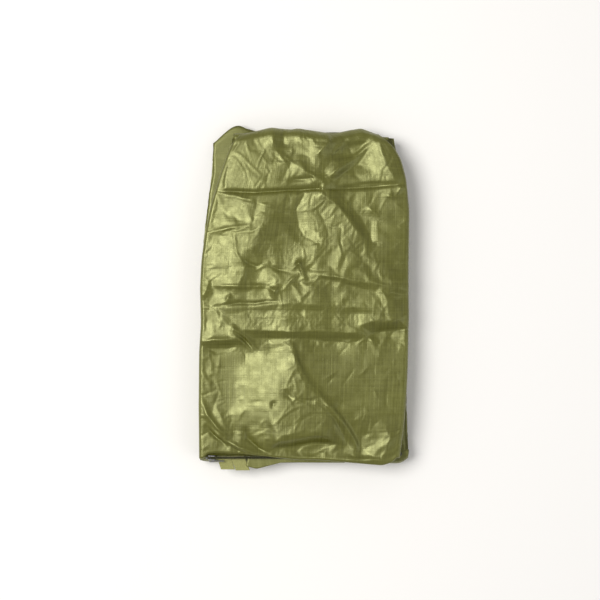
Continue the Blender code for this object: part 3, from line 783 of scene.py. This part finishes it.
def add_local(field, line, spread, sharp):
    """The same, worked out only round the line."""
    xs, ys = [p[0] for p in line], [p[1] for p in line]
    reach = spread * 4
    i0, i1 = np.searchsorted(field.x, (min(xs) - reach, max(xs) + reach))
    j0, j1 = np.searchsorted(field.y, (min(ys) - reach, max(ys) + reach))
    x, y = np.meshgrid(field.x[i0:i1], field.y[j0:j1])
    if x.size:
        add_fold(x, y, field.z[j0:j1, i0:i1], line, spread, sharp)


def add_crumple(field, count, long, high, spread):
    """Scatters short creases of random place, direction and height."""
    for _ in range(count):
        x, y = rng.uniform(-118, 118), rng.uniform(-180, 184)
        turn, reach = rng.uniform(0, math.pi), rng.uniform(*long) / 2
        height = rng.uniform(*high) * rng.choice((-1, 1))
        bend = rng.normal(scale=0.12) * reach
        dx, dy = reach * math.cos(turn), reach * math.sin(turn)
        middle = (x - bend * math.sin(turn), y + bend * math.cos(turn), height)
        line = [(x - dx, y - dy, 0), middle, (x + dx, y + dy, 0)]
        add_local(field, line, rng.uniform(*spread), CRUMPLE_SHARP)


def add_outline(field, corners, strength):
    """Sharpens the rim of a facet with a row of fine, slightly bowed creases."""
    for (x0, y0), (x1, y1) in zip(corners, corners[1:] + corners[:1]):
        length = math.hypot(x1 - x0, y1 - y0)
        bow = rng.normal(scale=RIM_BOW)
        height = min(strength, RIM_MOST) * rng.uniform(*RIM_RANGE) * rng.choice((-1, 1, 1))
        middle = ((x0 + x1) / 2 - (y1 - y0) * bow, (y0 + y1) / 2 + (x1 - x0) * bow, height)
        line = [(x0, y0, height * RIM_ENDS), middle, (x1, y1, height * RIM_ENDS)]
        add_local(field, line, min(RIM_SPREAD_MOST, RIM_SPREAD + length / 20), RIM_SHARP)


def crease_field():
    """The heights of the top sheet over REST_TOP: facets, folds, rims of facets and crumpling."""
    film = faceted()
    fine = Field(FINE_STEP)
    fine.z = film.at(*np.meshgrid(fine.x, fine.y))
    fine.z = rested(fine.smoothed(FILM_SMOOTH).z, LOWEST_FREE, LOWEST_SOFT)
    fine.z = -rested(-fine.z, -HIGHEST_FREE, HIGHEST_SOFT)
    for line, spread in FOLDS.values():
        add_local(fine, [(x, y, FOLD_GAIN * height) for x, y, height in line], spread, FOLD_SHARP)
    for slope_x, slope_y, corners in FACETS.values():
        add_outline(fine, corners, math.hypot(slope_x, slope_y) / RIM_PER_SLOPE)
    add_crumple(fine, count=260, long=(8, 30), high=(0.15, 0.5), spread=(1.2, 2.6))
    return fine.smoothed(LAST_SMOOTH)


# ---- top sheet -----------------------------------------------------------------------------
LEFT_EDGE = [
    (-190, -116), (-173, -116.5), (-120, -117), (-60, -116.5), (-30, -114.5), (10, -115.5), (40, -114),
    (70, -110), (100, -104), (130, -95), (160, -86), (176, -79), (190, -66),
]
RIGHT_EDGE = [
    (-190, 99), (-176, 105), (-140, 110), (-97, 113), (-70, 114), (-20, 115), (20, 114.5), (60, 115),
    (95, 115.5), (130, 112), (160, 106), (176, 97), (190, 70),
]
NEAR_EDGE = [
    (-117, -181), (-113, -181.3), (-111, -178), (-109, -173.6), (-98, -172.6), (-60, -174), (-42, -176),
    (-30, -177.5), (-10, -179.5), (12, -179.5), (45, -182), (86, -185.5), (99, -181), (106, -170),
    (117, -160),
]
FAR_EDGE = [
    (-90, 176), (-66, 181), (-38, 186.5), (-15, 185), (-8, 186), (11, 183), (31, 180), (50, 184), (63, 186),
    (77, 180.5), (98, 174),
]
SHEET_STEP = 1.25
ROLL, ROLL_TURN, TUCK = 4.2, math.radians(150), 6.0  # the rim's radius, turn and straight end
HEM_ROLL = 2.6
SHEET_HALF, SHEET_NEAR, SHEET_FAR = 112.0, -172.0, 171.0
NEAR_EASE, FAR_EASE = 40, 50  # stretch over which the rows bend to follow the two short edges
FOLD_OUT, FOLD_BOTTOM, FOLD_BACK = 12, 11.9, 4  # how far the far fold reaches out, down and back
SLACK, SLACK_Y, SLACK_RISE = 0.3, 150, 3  # it bulges by this share of the creases from here on


def rolled(distance, radius):
    """How far a rim reaches out of its edge and down, by the distance from the start of its roll."""
    turn = np.clip(distance / radius, 0, ROLL_TURN)
    out, down = radius * np.sin(turn), radius * (1 - np.cos(turn))
    past = np.maximum(distance - radius * ROLL_TURN, 0)
    return out + past * math.cos(ROLL_TURN), down + past * math.sin(ROLL_TURN)


def sheet_grid(field):
    """Points and flat coordinates of the creased sheet with its rolled rims and its far fold."""
    half_width, near, far = SHEET_HALF, SHEET_NEAR, SHEET_FAR
    rim = ROLL * ROLL_TURN + TUCK
    across = np.arange(-half_width - rim, half_width + rim + SHEET_STEP / 2, SHEET_STEP)
    hem = HEM_ROLL * ROLL_TURN
    fold_length = math.pi * LEAF
    along = np.arange(near - hem, far + fold_length + SHEET_STEP / 2, SHEET_STEP)
    u, v = np.meshgrid(across, along)
    inside = np.clip(u, -half_width, half_width)
    beyond = np.abs(u) - half_width
    row = np.clip(v, near, far)
    turn = np.clip((v - far) / LEAF, 0, math.pi)
    y_nominal = row + FOLD_OUT * np.sin(turn)
    left = curve_through(LEFT_EDGE, y_nominal) + ROLL
    right = curve_through(RIGHT_EDGE, y_nominal) - ROLL
    x = left + (right - left) * (inside + half_width) / (2 * half_width)
    near_y, far_y = curve_through(NEAR_EDGE, x) + HEM_ROLL, curve_through(FAR_EDGE, x)
    start = far_y - LEAF
    y = row + (near_y - near) * (1 - smoothstep(near, near + NEAR_EASE, row))
    y = y + (start - far) * smoothstep(far - FAR_EASE, far, row)
    height = field.at(x, y)
    top = rested(REST_TOP + height, HOOD_TOP, HOOD_SOFT)
    middle, bottom = TOP_FOLD_Z, FOLD_BOTTOM
    radius = np.where(turn < math.pi / 2, top - middle, middle - bottom)
    z = np.where(v > far, middle + radius * np.cos(turn), top)
    slack = SLACK * (field.at(x, SLACK_Y + FOLD_RUN * turn) + SLACK_RISE)
    depth = LEAF + np.where(turn > 0, slack * np.sin(turn) ** 2, 0)
    y = y + depth * np.sin(turn) + (TOP_FOLD_Y - FOLD_BACK - start) * smoothstep(math.pi / 2, math.pi, turn)
    out, down = rolled(np.maximum(beyond, 0), ROLL)
    x = x + np.sign(u) * np.where(beyond > 0, out, 0)
    sink = np.where(beyond > 0, down, 0)
    y, z = y - sink * np.sin(turn), z - sink * np.cos(turn)
    out, down = rolled(np.maximum(near - v, 0), HEM_ROLL)
    y, z = y - np.where(v < near, out, 0), z - np.where(v < near, down, 0)
    return np.stack([x, y, z], -1), np.stack([u, v], -1)


SIM_SCALE = 10.0  # the cloth solver works best at about this scale
SIM_STIFF, SIM_BEND, SIM_PIN, SIM_FRAMES = 15.0, 0.5, 1.0, 9
SIM_EXTRA = 0.005  # share by which the cloth is too long for its place
HELD_ACROSS, HELD_NEAR, HELD_FAR, HELD_EASE = 119, -175, 190, 8  # the rims past here are held fast
HOLD_LEVELS = 20
SOFT_HOLD, CALM_HOLD = 0.12, 0.7  # how firmly the sheet and its calm part are held to their shape
STILL = {
    "pillow": 0.5,
    "great_face": 0.2,
    "upper_left": 0.25,
    "right_fan": 0.2,
    "centre_left": 0.3,
    "right_slope": 0.4,
    "dark_hollow": 0.4,
    "below_fold": 0.3,
    "fold_face": 0.3,
    "trough_face": 0.4,
    "tongue": 0.25,
}


def settle(sheet, flat, hold):
    """Gives the cloth a little too much length for its place and lets it buckle into small folds."""
    across, along = flat[..., 0].ravel(), flat[..., 1].ravel()
    inside = np.minimum(along - HELD_NEAR, HELD_FAR - along)
    edge = np.minimum(HELD_ACROSS - np.abs(across), inside)
    weights = np.maximum(1 - smoothstep(0, HELD_EASE, edge), hold.ravel())
    co = np.zeros(len(across) * 3, np.float32)
    sheet.data.vertices.foreach_get("co", co)
    sheet.data.vertices.foreach_set("co", co * SIM_SCALE)
    sheet.modifiers.remove(sheet.modifiers["cloth_thickness"])
    group = sheet.vertex_groups.new(name="held")
    for level in range(HOLD_LEVELS + 1):
        chosen = np.flatnonzero(np.rint(weights * HOLD_LEVELS).astype(int) == level)
        if len(chosen):
            group.add(chosen.tolist(), level / HOLD_LEVELS, "REPLACE")
    cloth = sheet.modifiers.new("cloth", "CLOTH")
    s = cloth.settings
    s.quality = 6
    s.mass = 0.1
    s.air_damping = 2.0
    s.tension_stiffness = s.compression_stiffness = SIM_STIFF
    s.shear_stiffness = SIM_STIFF / 2
    s.bending_stiffness = SIM_BEND
    s.bending_damping = 0.5
    s.tension_damping = s.compression_damping = s.shear_damping = 5
    s.vertex_group_mass = "held"
    s.pin_stiffness = SIM_PIN
    s.shrink_min = -SIM_EXTRA
    s.effector_weights.gravity = 0
    cloth.collision_settings.use_self_collision = False
    cloth.collision_settings.use_collision = False
    scene = bpy.context.scene
    scene.frame_start, scene.frame_end = 1, SIM_FRAMES
    cloth.point_cache.frame_start, cloth.point_cache.frame_end = 1, SIM_FRAMES
    for number in range(1, SIM_FRAMES + 1):
        scene.frame_set(number)
    evaluated = sheet.evaluated_get(bpy.context.evaluated_depsgraph_get())
    evaluated.data.vertices.foreach_get("co", co)
    sheet.modifiers.remove(cloth)
    sheet.data.vertices.foreach_set("co", co / SIM_SCALE)
    sheet.data.update()
    scene.frame_set(1)
    thicken(sheet)


def top_sheet():
    points, flat = sheet_grid(crease_field())
    sheet = surface("top_sheet", points, flat, looks["ripstop"])
    quiet = Field(2.0)
    quiet.z += SOFT_HOLD
    quiet.z[quiet.within(CALM)] = CALM_HOLD
    for name, share in STILL.items():
        quiet.z[quiet.within(FACETS[name][2])] = share
    settle(sheet, flat, quiet.smoothed(3.0).at(points[..., 0], points[..., 1]))
    stand_in(sheet, "ripstop", "top_leaf_upper_panel_cover", "top_fold_outer")
    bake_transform(sheet)


# ---- packets of plies ----------------------------------------------------------------------
lie = Field(1.5)  # how the plies lie in waves, more so the higher up
add_crumple(lie, count=170, long=(20, 70), high=(0.3, 1.3), spread=(5, 11))
add_crumple(lie, count=160, long=(12, 50), high=(0.15, 0.45), spread=(3, 5))
U_TURN, FINE_PLY, PLAIN_PLY = 5, 70, 9  # points round a folded edge and across a ply
CALM_LOW, CALM_HIGH = 20, 30  # heights between which the waves die out
LONG_WAVE, SHORT_WAVE = (34.0, 1.1), (9.0, 0.35)  # reach and size of a folded edge's unevenness
END_EASE, PINCH, PINCH_RUN = 45, 0.45, 5  # how far the two ends shape a packet and close it up
SLOTS = {"ripstop": "ripstop", "floor": "floor_fabric", "net": "insect_mesh"}


def lift(x, y, z):
    """Height of a ply that would lie flat at z, in the waves of the bundle."""
    return z + lie.at(x, y) * z / REST_TOP * (1 - smoothstep(CALM_LOW, CALM_HIGH, z))


def edge_lines(count, step, side):
    """How far one folded edge stays short of the outline, row by row."""
    line = np.abs(wander(count, step, *LONG_WAVE)) + np.abs(wander(count, step, *SHORT_WAVE))
    return side * line


def ply_grid(outline, span, height, plies, across, step=2.6):
    """One cloth folded to and fro in flat plies, as points and flat coordinates.

    outline gives the left, right, near and far edges as keys, span the nominal y range, height
    the z range, and across the points on each ply.
    """
    left_keys, right_keys, near_keys, far_keys = outline
    near, far = span
    rows = int((far - near) / step)
    y_row = np.linspace(near, far, rows)
    left, right = curve_through(left_keys, y_row), curve_through(right_keys, y_row)
    spacing = (height[1] - height[0] - CLOTH) / plies
    xs, zs = [], []
    for ply in range(plies):
        way = -1 if ply % 2 else 1
        level = height[0] + CLOTH / 2 + spacing * (ply + 0.5)
        start = left + edge_lines(rows, step, 1) + spacing / 2
        end = right + edge_lines(rows, step, -1) - spacing / 2
        for t in np.linspace(0, 1, across[ply])[::way]:
            xs.append(start + (end - start) * t)
            zs.append(np.full(rows, level))
        if ply < plies - 1:
            rim = xs[-1]
            for turn in np.linspace(0, math.pi, U_TURN + 2)[1:-1]:
                xs.append(rim + way * math.sin(turn) * spacing / 2)
                zs.append(np.full(rows, level + spacing * (1 - math.cos(turn)) / 2))
    x, z = np.stack(xs, 1), np.stack(zs, 1)
    y = np.repeat(y_row[:, None], x.shape[1], 1)
    reach = min(END_EASE, (far - near) / 3)
    shift_near, shift_far = curve_through(near_keys, x) - near, curve_through(far_keys, x) - far
    y = y + shift_near * (1 - smoothstep(near, near + reach, y)) + shift_far * smoothstep(far - reach, far, y)
    middle = sum(height) / 2
    pinch = PINCH * smoothstep(far - PINCH_RUN, far, y_row)[:, None]
    z = lift(x, y, middle + (z - middle) * (1 - pinch))
    gaps = np.hypot(np.diff(x, axis=1), np.diff(z, axis=1))
    run = np.concatenate([np.zeros((rows, 1)), np.cumsum(gaps, axis=1)], axis=1)
    flat = np.stack([run, y], -1)
    size = (float(run[:, -1].mean()) / 1000, (far - near) / 1000)
    return np.stack([x, y, z], -1), flat, size


def ply_packet(name, node, body, look, outline, span, height, plies, fine=()):
    """A packet of plies in place of a CAD node. fine names the plies that can be seen, from 0."""
    across = [FINE_PLY if ply in fine else PLAIN_PLY for ply in range(plies)]
    points, flat, size = ply_grid(outline, span, height, plies, across)
    stand_in(surface(name, points, flat, looks[look]), SLOTS[look], node, body=body, flat=size)


BOTTOM_LEAF = (
    [
        (-172, -117), (-69, -117), (-36, -113), (8, -116), (41, -115), (74, -112), (107, -108), (124, -106),
        (140, -104), (160, -103), (190, -102),
    ],
    [
        (-172, 116.5), (-120, 114.5), (-60, 114.5), (0, 115.5), (60, 115.5), (96, 117), (130, 113),
        (152, 107), (163, 104), (173, 97), (186, 92),
    ],
    [(-117, -171.3), (117, -171.3)],
    [
        (-102, 171), (-92, 181), (-81, 190), (-73, 192.3), (-66, 189), (-62, 186), (-40, 184), (0, 184),
        (40, 184), (62, 185.5), (80, 179), (100, 168), (117, 150),
    ],
)
MIDDLE_LEAF = (
    [(-172, -115), (-60, -114.5), (10, -113.5), (60, -108), (100, -99), (130, -92), (176, -80)],
    [(-172, 114), (-60, 113), (40, 113.5), (100, 111.5), (140, 107), (176, 99)],
    [(-115, -171.3), (115, -171.3)],
    [(-115, 176), (115, 176)],
)
INNER_LEAF = (
    [(-172, -111), (10, -110), (60, -105), (100, -97), (130, -90), (176, -78)],
    [(-172, 111.5), (40, 110.5), (100, 108.5), (140, 103), (176, 94)],
    [(-115, -171.3), (115, -171.3)],
    [(-115, 176), (115, 176)],
)
HOOD = (
    [(-175, -112), (-60, -111.5), (10, -110), (60, -105), (100, -97), (120, -91), (176, -76)],
    [(-175, 110), (-60, 110), (60, 110), (120, 106), (176, 97)],
    [(-113, -174.8), (44, -174.8), (52, -163.9), (112, -163.9)],
    [(-115, 175.5), (115, 175.5)],
)
NET = (
    [(-172, -89), (-8, -89)],
    [(-172, 95), (-8, 95)],
    [(-90, -171.5), (40, -171.5), (48, -155), (96, -155)],
    [(-90, -8), (96, -8)],
)


# For each body, its nominal y range and its packets from below: the CAD node that each stands for,
# its look, outline, z range and number of plies, and the plies that can be seen.
PACKETS = [
    ("bottom_leaf", (-172, 184), {
        "bottom_plies_outer": ("bottom_leaf_upper_panel_outer", "ripstop", BOTTOM_LEAF, (0.05, 3.7), 5, [0]),
        "bottom_plies_floor": ("bottom_leaf_floor_panel", "floor", BOTTOM_LEAF, (3.85, 7.5), 5),
        "bottom_plies_inner": ("bottom_leaf_upper_panel_inner", "ripstop", BOTTOM_LEAF, (7.65, 11.3), 6, [5]),
    }),
    ("middle_leaf", (-172, 176), {
        "middle_plies_lower": ("middle_leaf_upper_panel_lower", "ripstop", MIDDLE_LEAF, (11.5, 15.1), 5, [0]),
        "middle_plies_floor": ("middle_leaf_floor_panel", "floor", INNER_LEAF, (15.3, 18.9), 5),
        "middle_plies_upper": ("middle_leaf_upper_panel_upper", "ripstop", MIDDLE_LEAF, (19.1, 22.7), 6, [5]),
    }),
    ("top_leaf", (-174.8, 175.5), {
        "top_plies_floor": ("top_leaf_floor_panel", "floor", HOOD, (22.95, 26.5), 5, [0]),
        "hood_plies": ("hood_panel", "ripstop", HOOD, (26.7, 28.6), 2),
    }),
    ("top_leaf", (-171.5, -8), {
        "hood_net": ("hood_mesh_window", "net", NET, (28.7, 29.3), 1),
    }),
]


def leaf_packets():
    for body, span, packets in PACKETS:
        for name, (node, look, outline, *rest) in packets.items():
            ply_packet(name, node, body, look, outline, span, *rest)


# ---- plies that turn round a fold ----------------------------------------------------------
wrap_waves = Field(1.5)  # how the turned plies stand in and out, by x and by FOLD_RUN
add_crumple(wrap_waves, count=420, long=(10, 42), high=(0.3, 1.3), spread=(2.2, 6))
add_crumple(wrap_waves, count=60, long=(50, 120), high=(0.5, 1.6), spread=(5, 10))
RING_STEP, WRAP_STEP, SINK = 1.6, 2.2, 3.0  # spacing round a ring and along it, and its straight end
END_POINTS, END_SHORT, END_REACH = 60, 1.2, 12  # how the ends of a turned ply wander
FOLDS_APART = 70  # so that the two folds don't show the same waves
STAND_OUT, STAND_UP, RIPPLE, RIPPLE_REACH = 0.8, 0.5, 0.05, 15.0


def fold_grid(fold_y, fold_z, side, radii, edges, depth_keys, plies):
    """Nested half rings of one cloth about a fold line, as points and flat coordinates."""
    columns = int((edges[1] - edges[0]) / WRAP_STEP)
    share = np.linspace(0, 1, columns)
    place = edges[0] + share * (edges[1] - edges[0])
    depth = curve_through(depth_keys, place) / LEAF
    spacing = (radii[0] - radii[1] - CLOTH) / plies
    ys, zs, xs, runs = [], [], [], []
    total = 0.0
    for ply in range(plies):
        radius = radii[0] - CLOTH / 2 - spacing * (ply + 0.5)
        turns = np.linspace(-math.pi / 2, math.pi / 2, max(7, int(radius * math.pi / RING_STEP)))
        legs = [(-1, SINK), *((turn, 0.0) for turn in turns), (1, SINK)]
        if ply % 2:
            legs = legs[::-1]
        short = np.abs(rng.normal(scale=END_SHORT))
        left = edges[0] + short + np.abs(wander(END_POINTS, 1, END_REACH, 1.0))[:, None]
        short = np.abs(rng.normal(scale=END_SHORT))
        right = edges[1] - short - np.abs(wander(END_POINTS, 1, END_REACH, 1.0))[:, None]
        for k, (turn, inward) in enumerate(legs):
            if inward:
                y = np.full(columns, fold_y - side * inward)
                z = np.full(columns, fold_z + turn * radius)
            else:
                facing = math.cos(turn)
                ripple = 1 + RIPPLE * wander(columns, WRAP_STEP, RIPPLE_REACH, 1.0) * facing
                stand = wrap_waves.at(place, FOLD_RUN * turn + FOLDS_APART * side) * radius / LEAF * facing
                y = fold_y + side * (radius * facing * depth * ripple + STAND_OUT * stand * facing)
                z = fold_z + radius * math.sin(turn) + STAND_UP * stand * math.sin(turn)
            spot = min(k, END_POINTS - 1)
            xs.append(left[spot] + (right[spot] - left[spot]) * share)
            ys.append(y)
            zs.append(z)
            runs.append(total)
            total += inward or RING_STEP
    x, y, z = np.stack(xs), np.stack(ys), np.stack(zs)
    z = np.maximum(lift(x, y, z), 0.1)
    run = np.repeat(np.array(runs)[:, None], columns, 1)
    length = np.hypot(np.diff(y, axis=0), np.diff(z, axis=0)).sum(0).mean()
    size = (float(length) / 1000, float(edges[1] - edges[0]) / 1000)
    return np.stack([x, y, z], -1), np.stack([x, run], -1), size


# The outer and inner radius of each ring and its number of plies, how far the rings stand out of
# the two folds by x, and the x of their ends.
RINGS = {"outer": ((11.35, 7.75), 5), "middle": ((7.55, 3.95), 4), "inner": ((3.75, 0.9), 4)}
NEAR_DEPTH = [
    (-117, 11), (-105, 12.5), (-87, 12.2), (-65, 12), (-43, 11.4), (-21, 10.4), (-10, 8.6), (12, 9.6),
    (45, 12.2), (67, 12.8), (88, 13.6), (100, 14.4), (108, 14.2), (113, 12), (117, 7),
]
FAR_DEPTH = [(-95, 5), (-84, 8), (-60, 10), (0, 8), (30, 3.5), (58, 8), (76, 3.5), (96, 0.8)]
BOTTOM_ENDS = {"outer": (-117.5, 116), "middle": (-112, 113), "inner": (-110, 111)}
TOP_ENDS = {"middle": (-80, 94), "inner": (-78, 92)}


def fold_wraps(fold, line, side, depth_keys, ends):
    """The rings of plies round one fold, in place of the fold's CAD nodes."""
    for ring, edges in ends.items():
        radii, plies = RINGS[ring]
        points, flat, size = fold_grid(*line, side, radii, edges, depth_keys, plies)
        obj = surface(f"{fold}_plies_{ring}", points, flat, looks["ripstop"])
        stand_in(obj, "ripstop", f"{fold}_{ring}", flat=size)
        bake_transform(obj)


# ---- zip -----------------------------------------------------------------------------------
ZIP_START_X, ZIP_END_X, ZIP_Z = -109.0, 46.0, 27.6
ZIP_TAPE_Y, COIL_Y = -176.75, -178.05
TAPE_INNER, TAPE_OUTER, TAPE_THICKNESS = 1.0, 2.85, 0.35  # from the zip's middle line
COIL_PITCH, COIL_WIRE, COIL_STEPS, COIL_INSET = 1.25, 0.27, 10, 2.4
COIL_RISE, COIL_UP, COIL_OUT = 1.35, 0.56, 0.62  # place and radii of a coil's turns
COIL_WANDER, COIL_WAVE, TAPE_WANDER, TAPE_WAVE = 0.06, 0.21, 0.12, 0.17  # in radians to a mm of x


def tube(name, points, radius, look, sides=3, closed=False):
    """A round cord or wire through points in millimetres, as a curve with a bevel."""
    curve = bpy.data.curves.new(name, "CURVE")
    curve.dimensions = "3D"
    curve.bevel_depth = radius / 1000
    curve.bevel_resolution = sides
    curve.use_fill_caps = not closed
    curve.materials.append(look)
    spline = curve.splines.new("POLY")
    spline.points.add(len(points) - 1)
    for place, point in zip(spline.points, points):
        place.co = (*metres(*point), 1.0)
    spline.use_cyclic_u = closed
    obj = bpy.data.objects.new(name, curve)
    bpy.context.scene.collection.objects.link(obj)
    return obj


def zip_coil(half, side):
    """The teeth of one half of the zip: a nylon wire coiled along the tape."""
    length = ZIP_END_X - ZIP_START_X - 2 * COIL_INSET
    points = []
    for k in range(int(length / COIL_PITCH * COIL_STEPS)):
        turn = 2 * math.pi * k / COIL_STEPS
        x = ZIP_START_X + COIL_INSET + COIL_PITCH * k / COIL_STEPS
        z = ZIP_Z + side * COIL_RISE + COIL_UP * math.sin(turn) + COIL_WANDER * math.sin(x * COIL_WAVE)
        points.append((x, COIL_Y + COIL_OUT * math.cos(turn), z))
    coil = tube(f"zip_teeth_{half}", points, COIL_WIRE, looks["zip_coil"], 2)
    stand_in(coil, "zip_coil", f"zip_coil_{half}", body="top_leaf")


def zip_tape(half, side):
    inner, outer = ZIP_Z + side * TAPE_INNER, ZIP_Z + side * TAPE_OUTER
    x, z = np.meshgrid(np.linspace(ZIP_START_X, ZIP_END_X, 130), np.linspace(inner, outer, 6))
    free = np.abs(z - inner) / (TAPE_OUTER - TAPE_INNER)
    y = ZIP_TAPE_Y + TAPE_WANDER * np.sin(x * TAPE_WAVE) * free
    points, flat = np.stack([x, y, z], -1), np.stack([x, z], -1)
    tape = surface(f"zip_tape_woven_{half}", points, flat, looks["zip_tape"], thickness=TAPE_THICKNESS)
    stand_in(tape, "zip_tape", f"zip_tape_{half}", body="top_leaf")


def repaint(node, look):
    """A better material on a CAD node whose shape is right."""
    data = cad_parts[node].data
    data.materials.clear()
    data.materials.append(looks[look])


# ---- drawcord ------------------------------------------------------------------------------
CORD_FIRST_X, CORD_LAST_X, KNOT_X = 50.4, 103.5, 106.0
HEM_FIRST_X, HEM_LAST_X, HEM_RADIUS, HEM_TIP = 49.4, 55.0, 2.2, 1.2
CORD_STEPS, KNOT_STEPS, KNOT_SIZE, KNOT_WIDTH, KNOT_CORD = 30, 72, 0.45, 0.9, 0.8


def drawcord():
    """The short cord, its trefoil stopper knot and the gathered mouth of the hem it comes out of."""
    route = [
        (CORD_FIRST_X + (CORD_LAST_X - CORD_FIRST_X) * k / CORD_STEPS, CORD_Y, CORD_Z)
        for k in range(CORD_STEPS + 1)
    ]
    cord = tube("drawcord_braided", route, CORD_RADIUS, looks["cord"])
    stand_in(cord, "cord", "drawcord", body="top_leaf")
    loops = []
    for k in range(KNOT_STEPS):
        t = 2 * math.pi * k / KNOT_STEPS
        a, b, c = math.sin(t) + 2 * math.sin(2 * t), math.cos(t) - 2 * math.cos(2 * t), -math.sin(3 * t)
        loops.append((KNOT_X + KNOT_WIDTH * c, CORD_Y + KNOT_SIZE * a, CORD_Z + KNOT_SIZE * b))
    knot = tube("drawcord_stopper_knot", loops, KNOT_CORD, looks["cord"], closed=True)
    stand_in(knot, "cord", "drawcord_knot", body="top_leaf")
    turn, x = np.meshgrid(np.linspace(0, 2 * math.pi, 41)[:-1], np.linspace(HEM_FIRST_X, HEM_LAST_X, 12))
    gather = 0.14 * np.cos(9 * turn + x * 0.8) + 0.1 * np.cos(4 * turn - x)
    radius = HEM_RADIUS + gather - 0.25 * smoothstep(HEM_LAST_X - HEM_TIP, HEM_LAST_X, x)
    points = np.stack([x, CORD_Y + radius * np.cos(turn), CORD_Z + radius * np.sin(turn)], -1)
    flat = np.stack([radius * turn, x], -1)
    hem = surface("drawcord_hem_mouth", points, flat, looks["ripstop"], closed=True, thickness=0.3)
    stand_in(hem, "ripstop", "drawcord_hem_end", body="top_leaf")


# ---- stake loops, label and foot end -------------------------------------------------------
STRIP_ROWS, STRIP_COLUMNS, STRIP_TURN = 12, 15, 9  # points out, across and round the bight
STRIP_CURL, STRIP_SAG = 0.2, 0.1


def strip(name, node, look, x, root_y, tip_y, lean, width, level, gap=0.5, thickness=0.28):
    """A strip of webbing folded in two: out from the seam, round its bight and back."""
    length = root_y - tip_y
    along = np.linspace(0, length, STRIP_ROWS)
    shift = math.tan(math.radians(lean))
    turns = np.linspace(0, math.pi, STRIP_TURN)[1:-1]
    path = [(root_y - a, level) for a in along[:-1]]
    path += [(tip_y + gap / 2 - gap / 2 * math.sin(t), level + gap / 2 * (1 - math.cos(t))) for t in turns]
    path += [(root_y - a, level + gap) for a in along[:-1][::-1]]
    across = np.linspace(-width / 2, width / 2, STRIP_COLUMNS)
    points, flat = [], []
    run = 0.0
    for k, (y, z) in enumerate(path):
        if k:
            run += math.hypot(y - path[k - 1][0], z - path[k - 1][1])
        out = (root_y - y) / length
        curl = STRIP_CURL * math.sin(math.pi * out) + STRIP_CURL * out * across / width
        aside = x + across + shift * (root_y - y)
        points.append(np.stack([aside, np.full(STRIP_COLUMNS, y), z + curl + STRIP_SAG * out], -1))
        flat.append(np.stack([across, np.full(STRIP_COLUMNS, run)], -1))
    obj = surface(name, np.stack(points), np.stack(flat), looks[look], thickness=thickness)
    stand_in(obj, look, node, body="top_leaf", flat=(width / 1000, run / 1000))


SEAM_Y, SEAM_Z, LOOP_WIDTH = -175.8, 23.0, 15.5
STAKE_LOOPS = {  # middle, tip and lean in degrees
    "head_left": (-89.5, -191.0, 17.0),
    "foot_left": (-74.6, -192.0, 21.0),
    "head_right": (-50.0, -185.5, 3.0),
    "foot_right": (-34.0, -182.0, -5.0),
}
CARE_LABEL = (34.0, -181.2, 0.0, 18.0, 0.4, 0.14)  # the same, its width, and its gap and thickness
FOOT_CORNER = (
    [(-190, -66), (-176, -63)],
    [(-190, 45), (-176, 45)],
    [(-66, -187), (-53, -190.5), (-40, -187), (-20, -182), (-5, -179.8), (22, -180.9), (45, -183)],
    [(-62, SEAM_Y), (45, SEAM_Y)],
)


def mouth_trim():
    """What hangs out under the hem at the near side."""
    for corner, (x, tip_y, lean) in STAKE_LOOPS.items():
        node = f"stake_loop_{corner}"
        strip(f"{node}_webbing", node, "webbing", x, SEAM_Y, tip_y, lean, LOOP_WIDTH, SEAM_Z)
    x, tip_y, lean, width, gap, thickness = CARE_LABEL
    strip("care_label_folded", "care_label", "label", x, SEAM_Y, tip_y, lean, width, SEAM_Z, gap, thickness)
    points, flat, size = ply_grid(FOOT_CORNER, (-187, SEAM_Y), (24.0, 24.6), 2, across=(60, 60), step=0.9)
    obj = surface("foot_corner_plies", points, flat, looks["floor"])
    stand_in(obj, "floor_fabric", "foot_end_corner", body="top_leaf", flat=size)


# ---- assembly ------------------------------------------------------------------------------
studio()
floor()
drawcord()
leaf_packets()
fold_wraps(
    "bottom_fold",
    line=(BOTTOM_FOLD_Y, BOTTOM_FOLD_Z),
    side=-1,
    depth_keys=NEAR_DEPTH,
    ends=BOTTOM_ENDS,
)
fold_wraps(
    "top_fold",
    line=(TOP_FOLD_Y, TOP_FOLD_Z),
    side=1,
    depth_keys=FAR_DEPTH,
    ends=TOP_ENDS,
)
for half, side in (("upper", 1), ("lower", -1)):
    zip_coil(half, side)
    zip_tape(half, side)
for node in ("zip_slider_body", "zip_pull_tab", "zip_start_stop", "zip_end_stop", "cord_lock_spring"):
    repaint(node, "metal")
for node in ("cord_lock_barrel", "cord_lock_button"):
    repaint(node, "lock")
mouth_trim()
top_sheet()
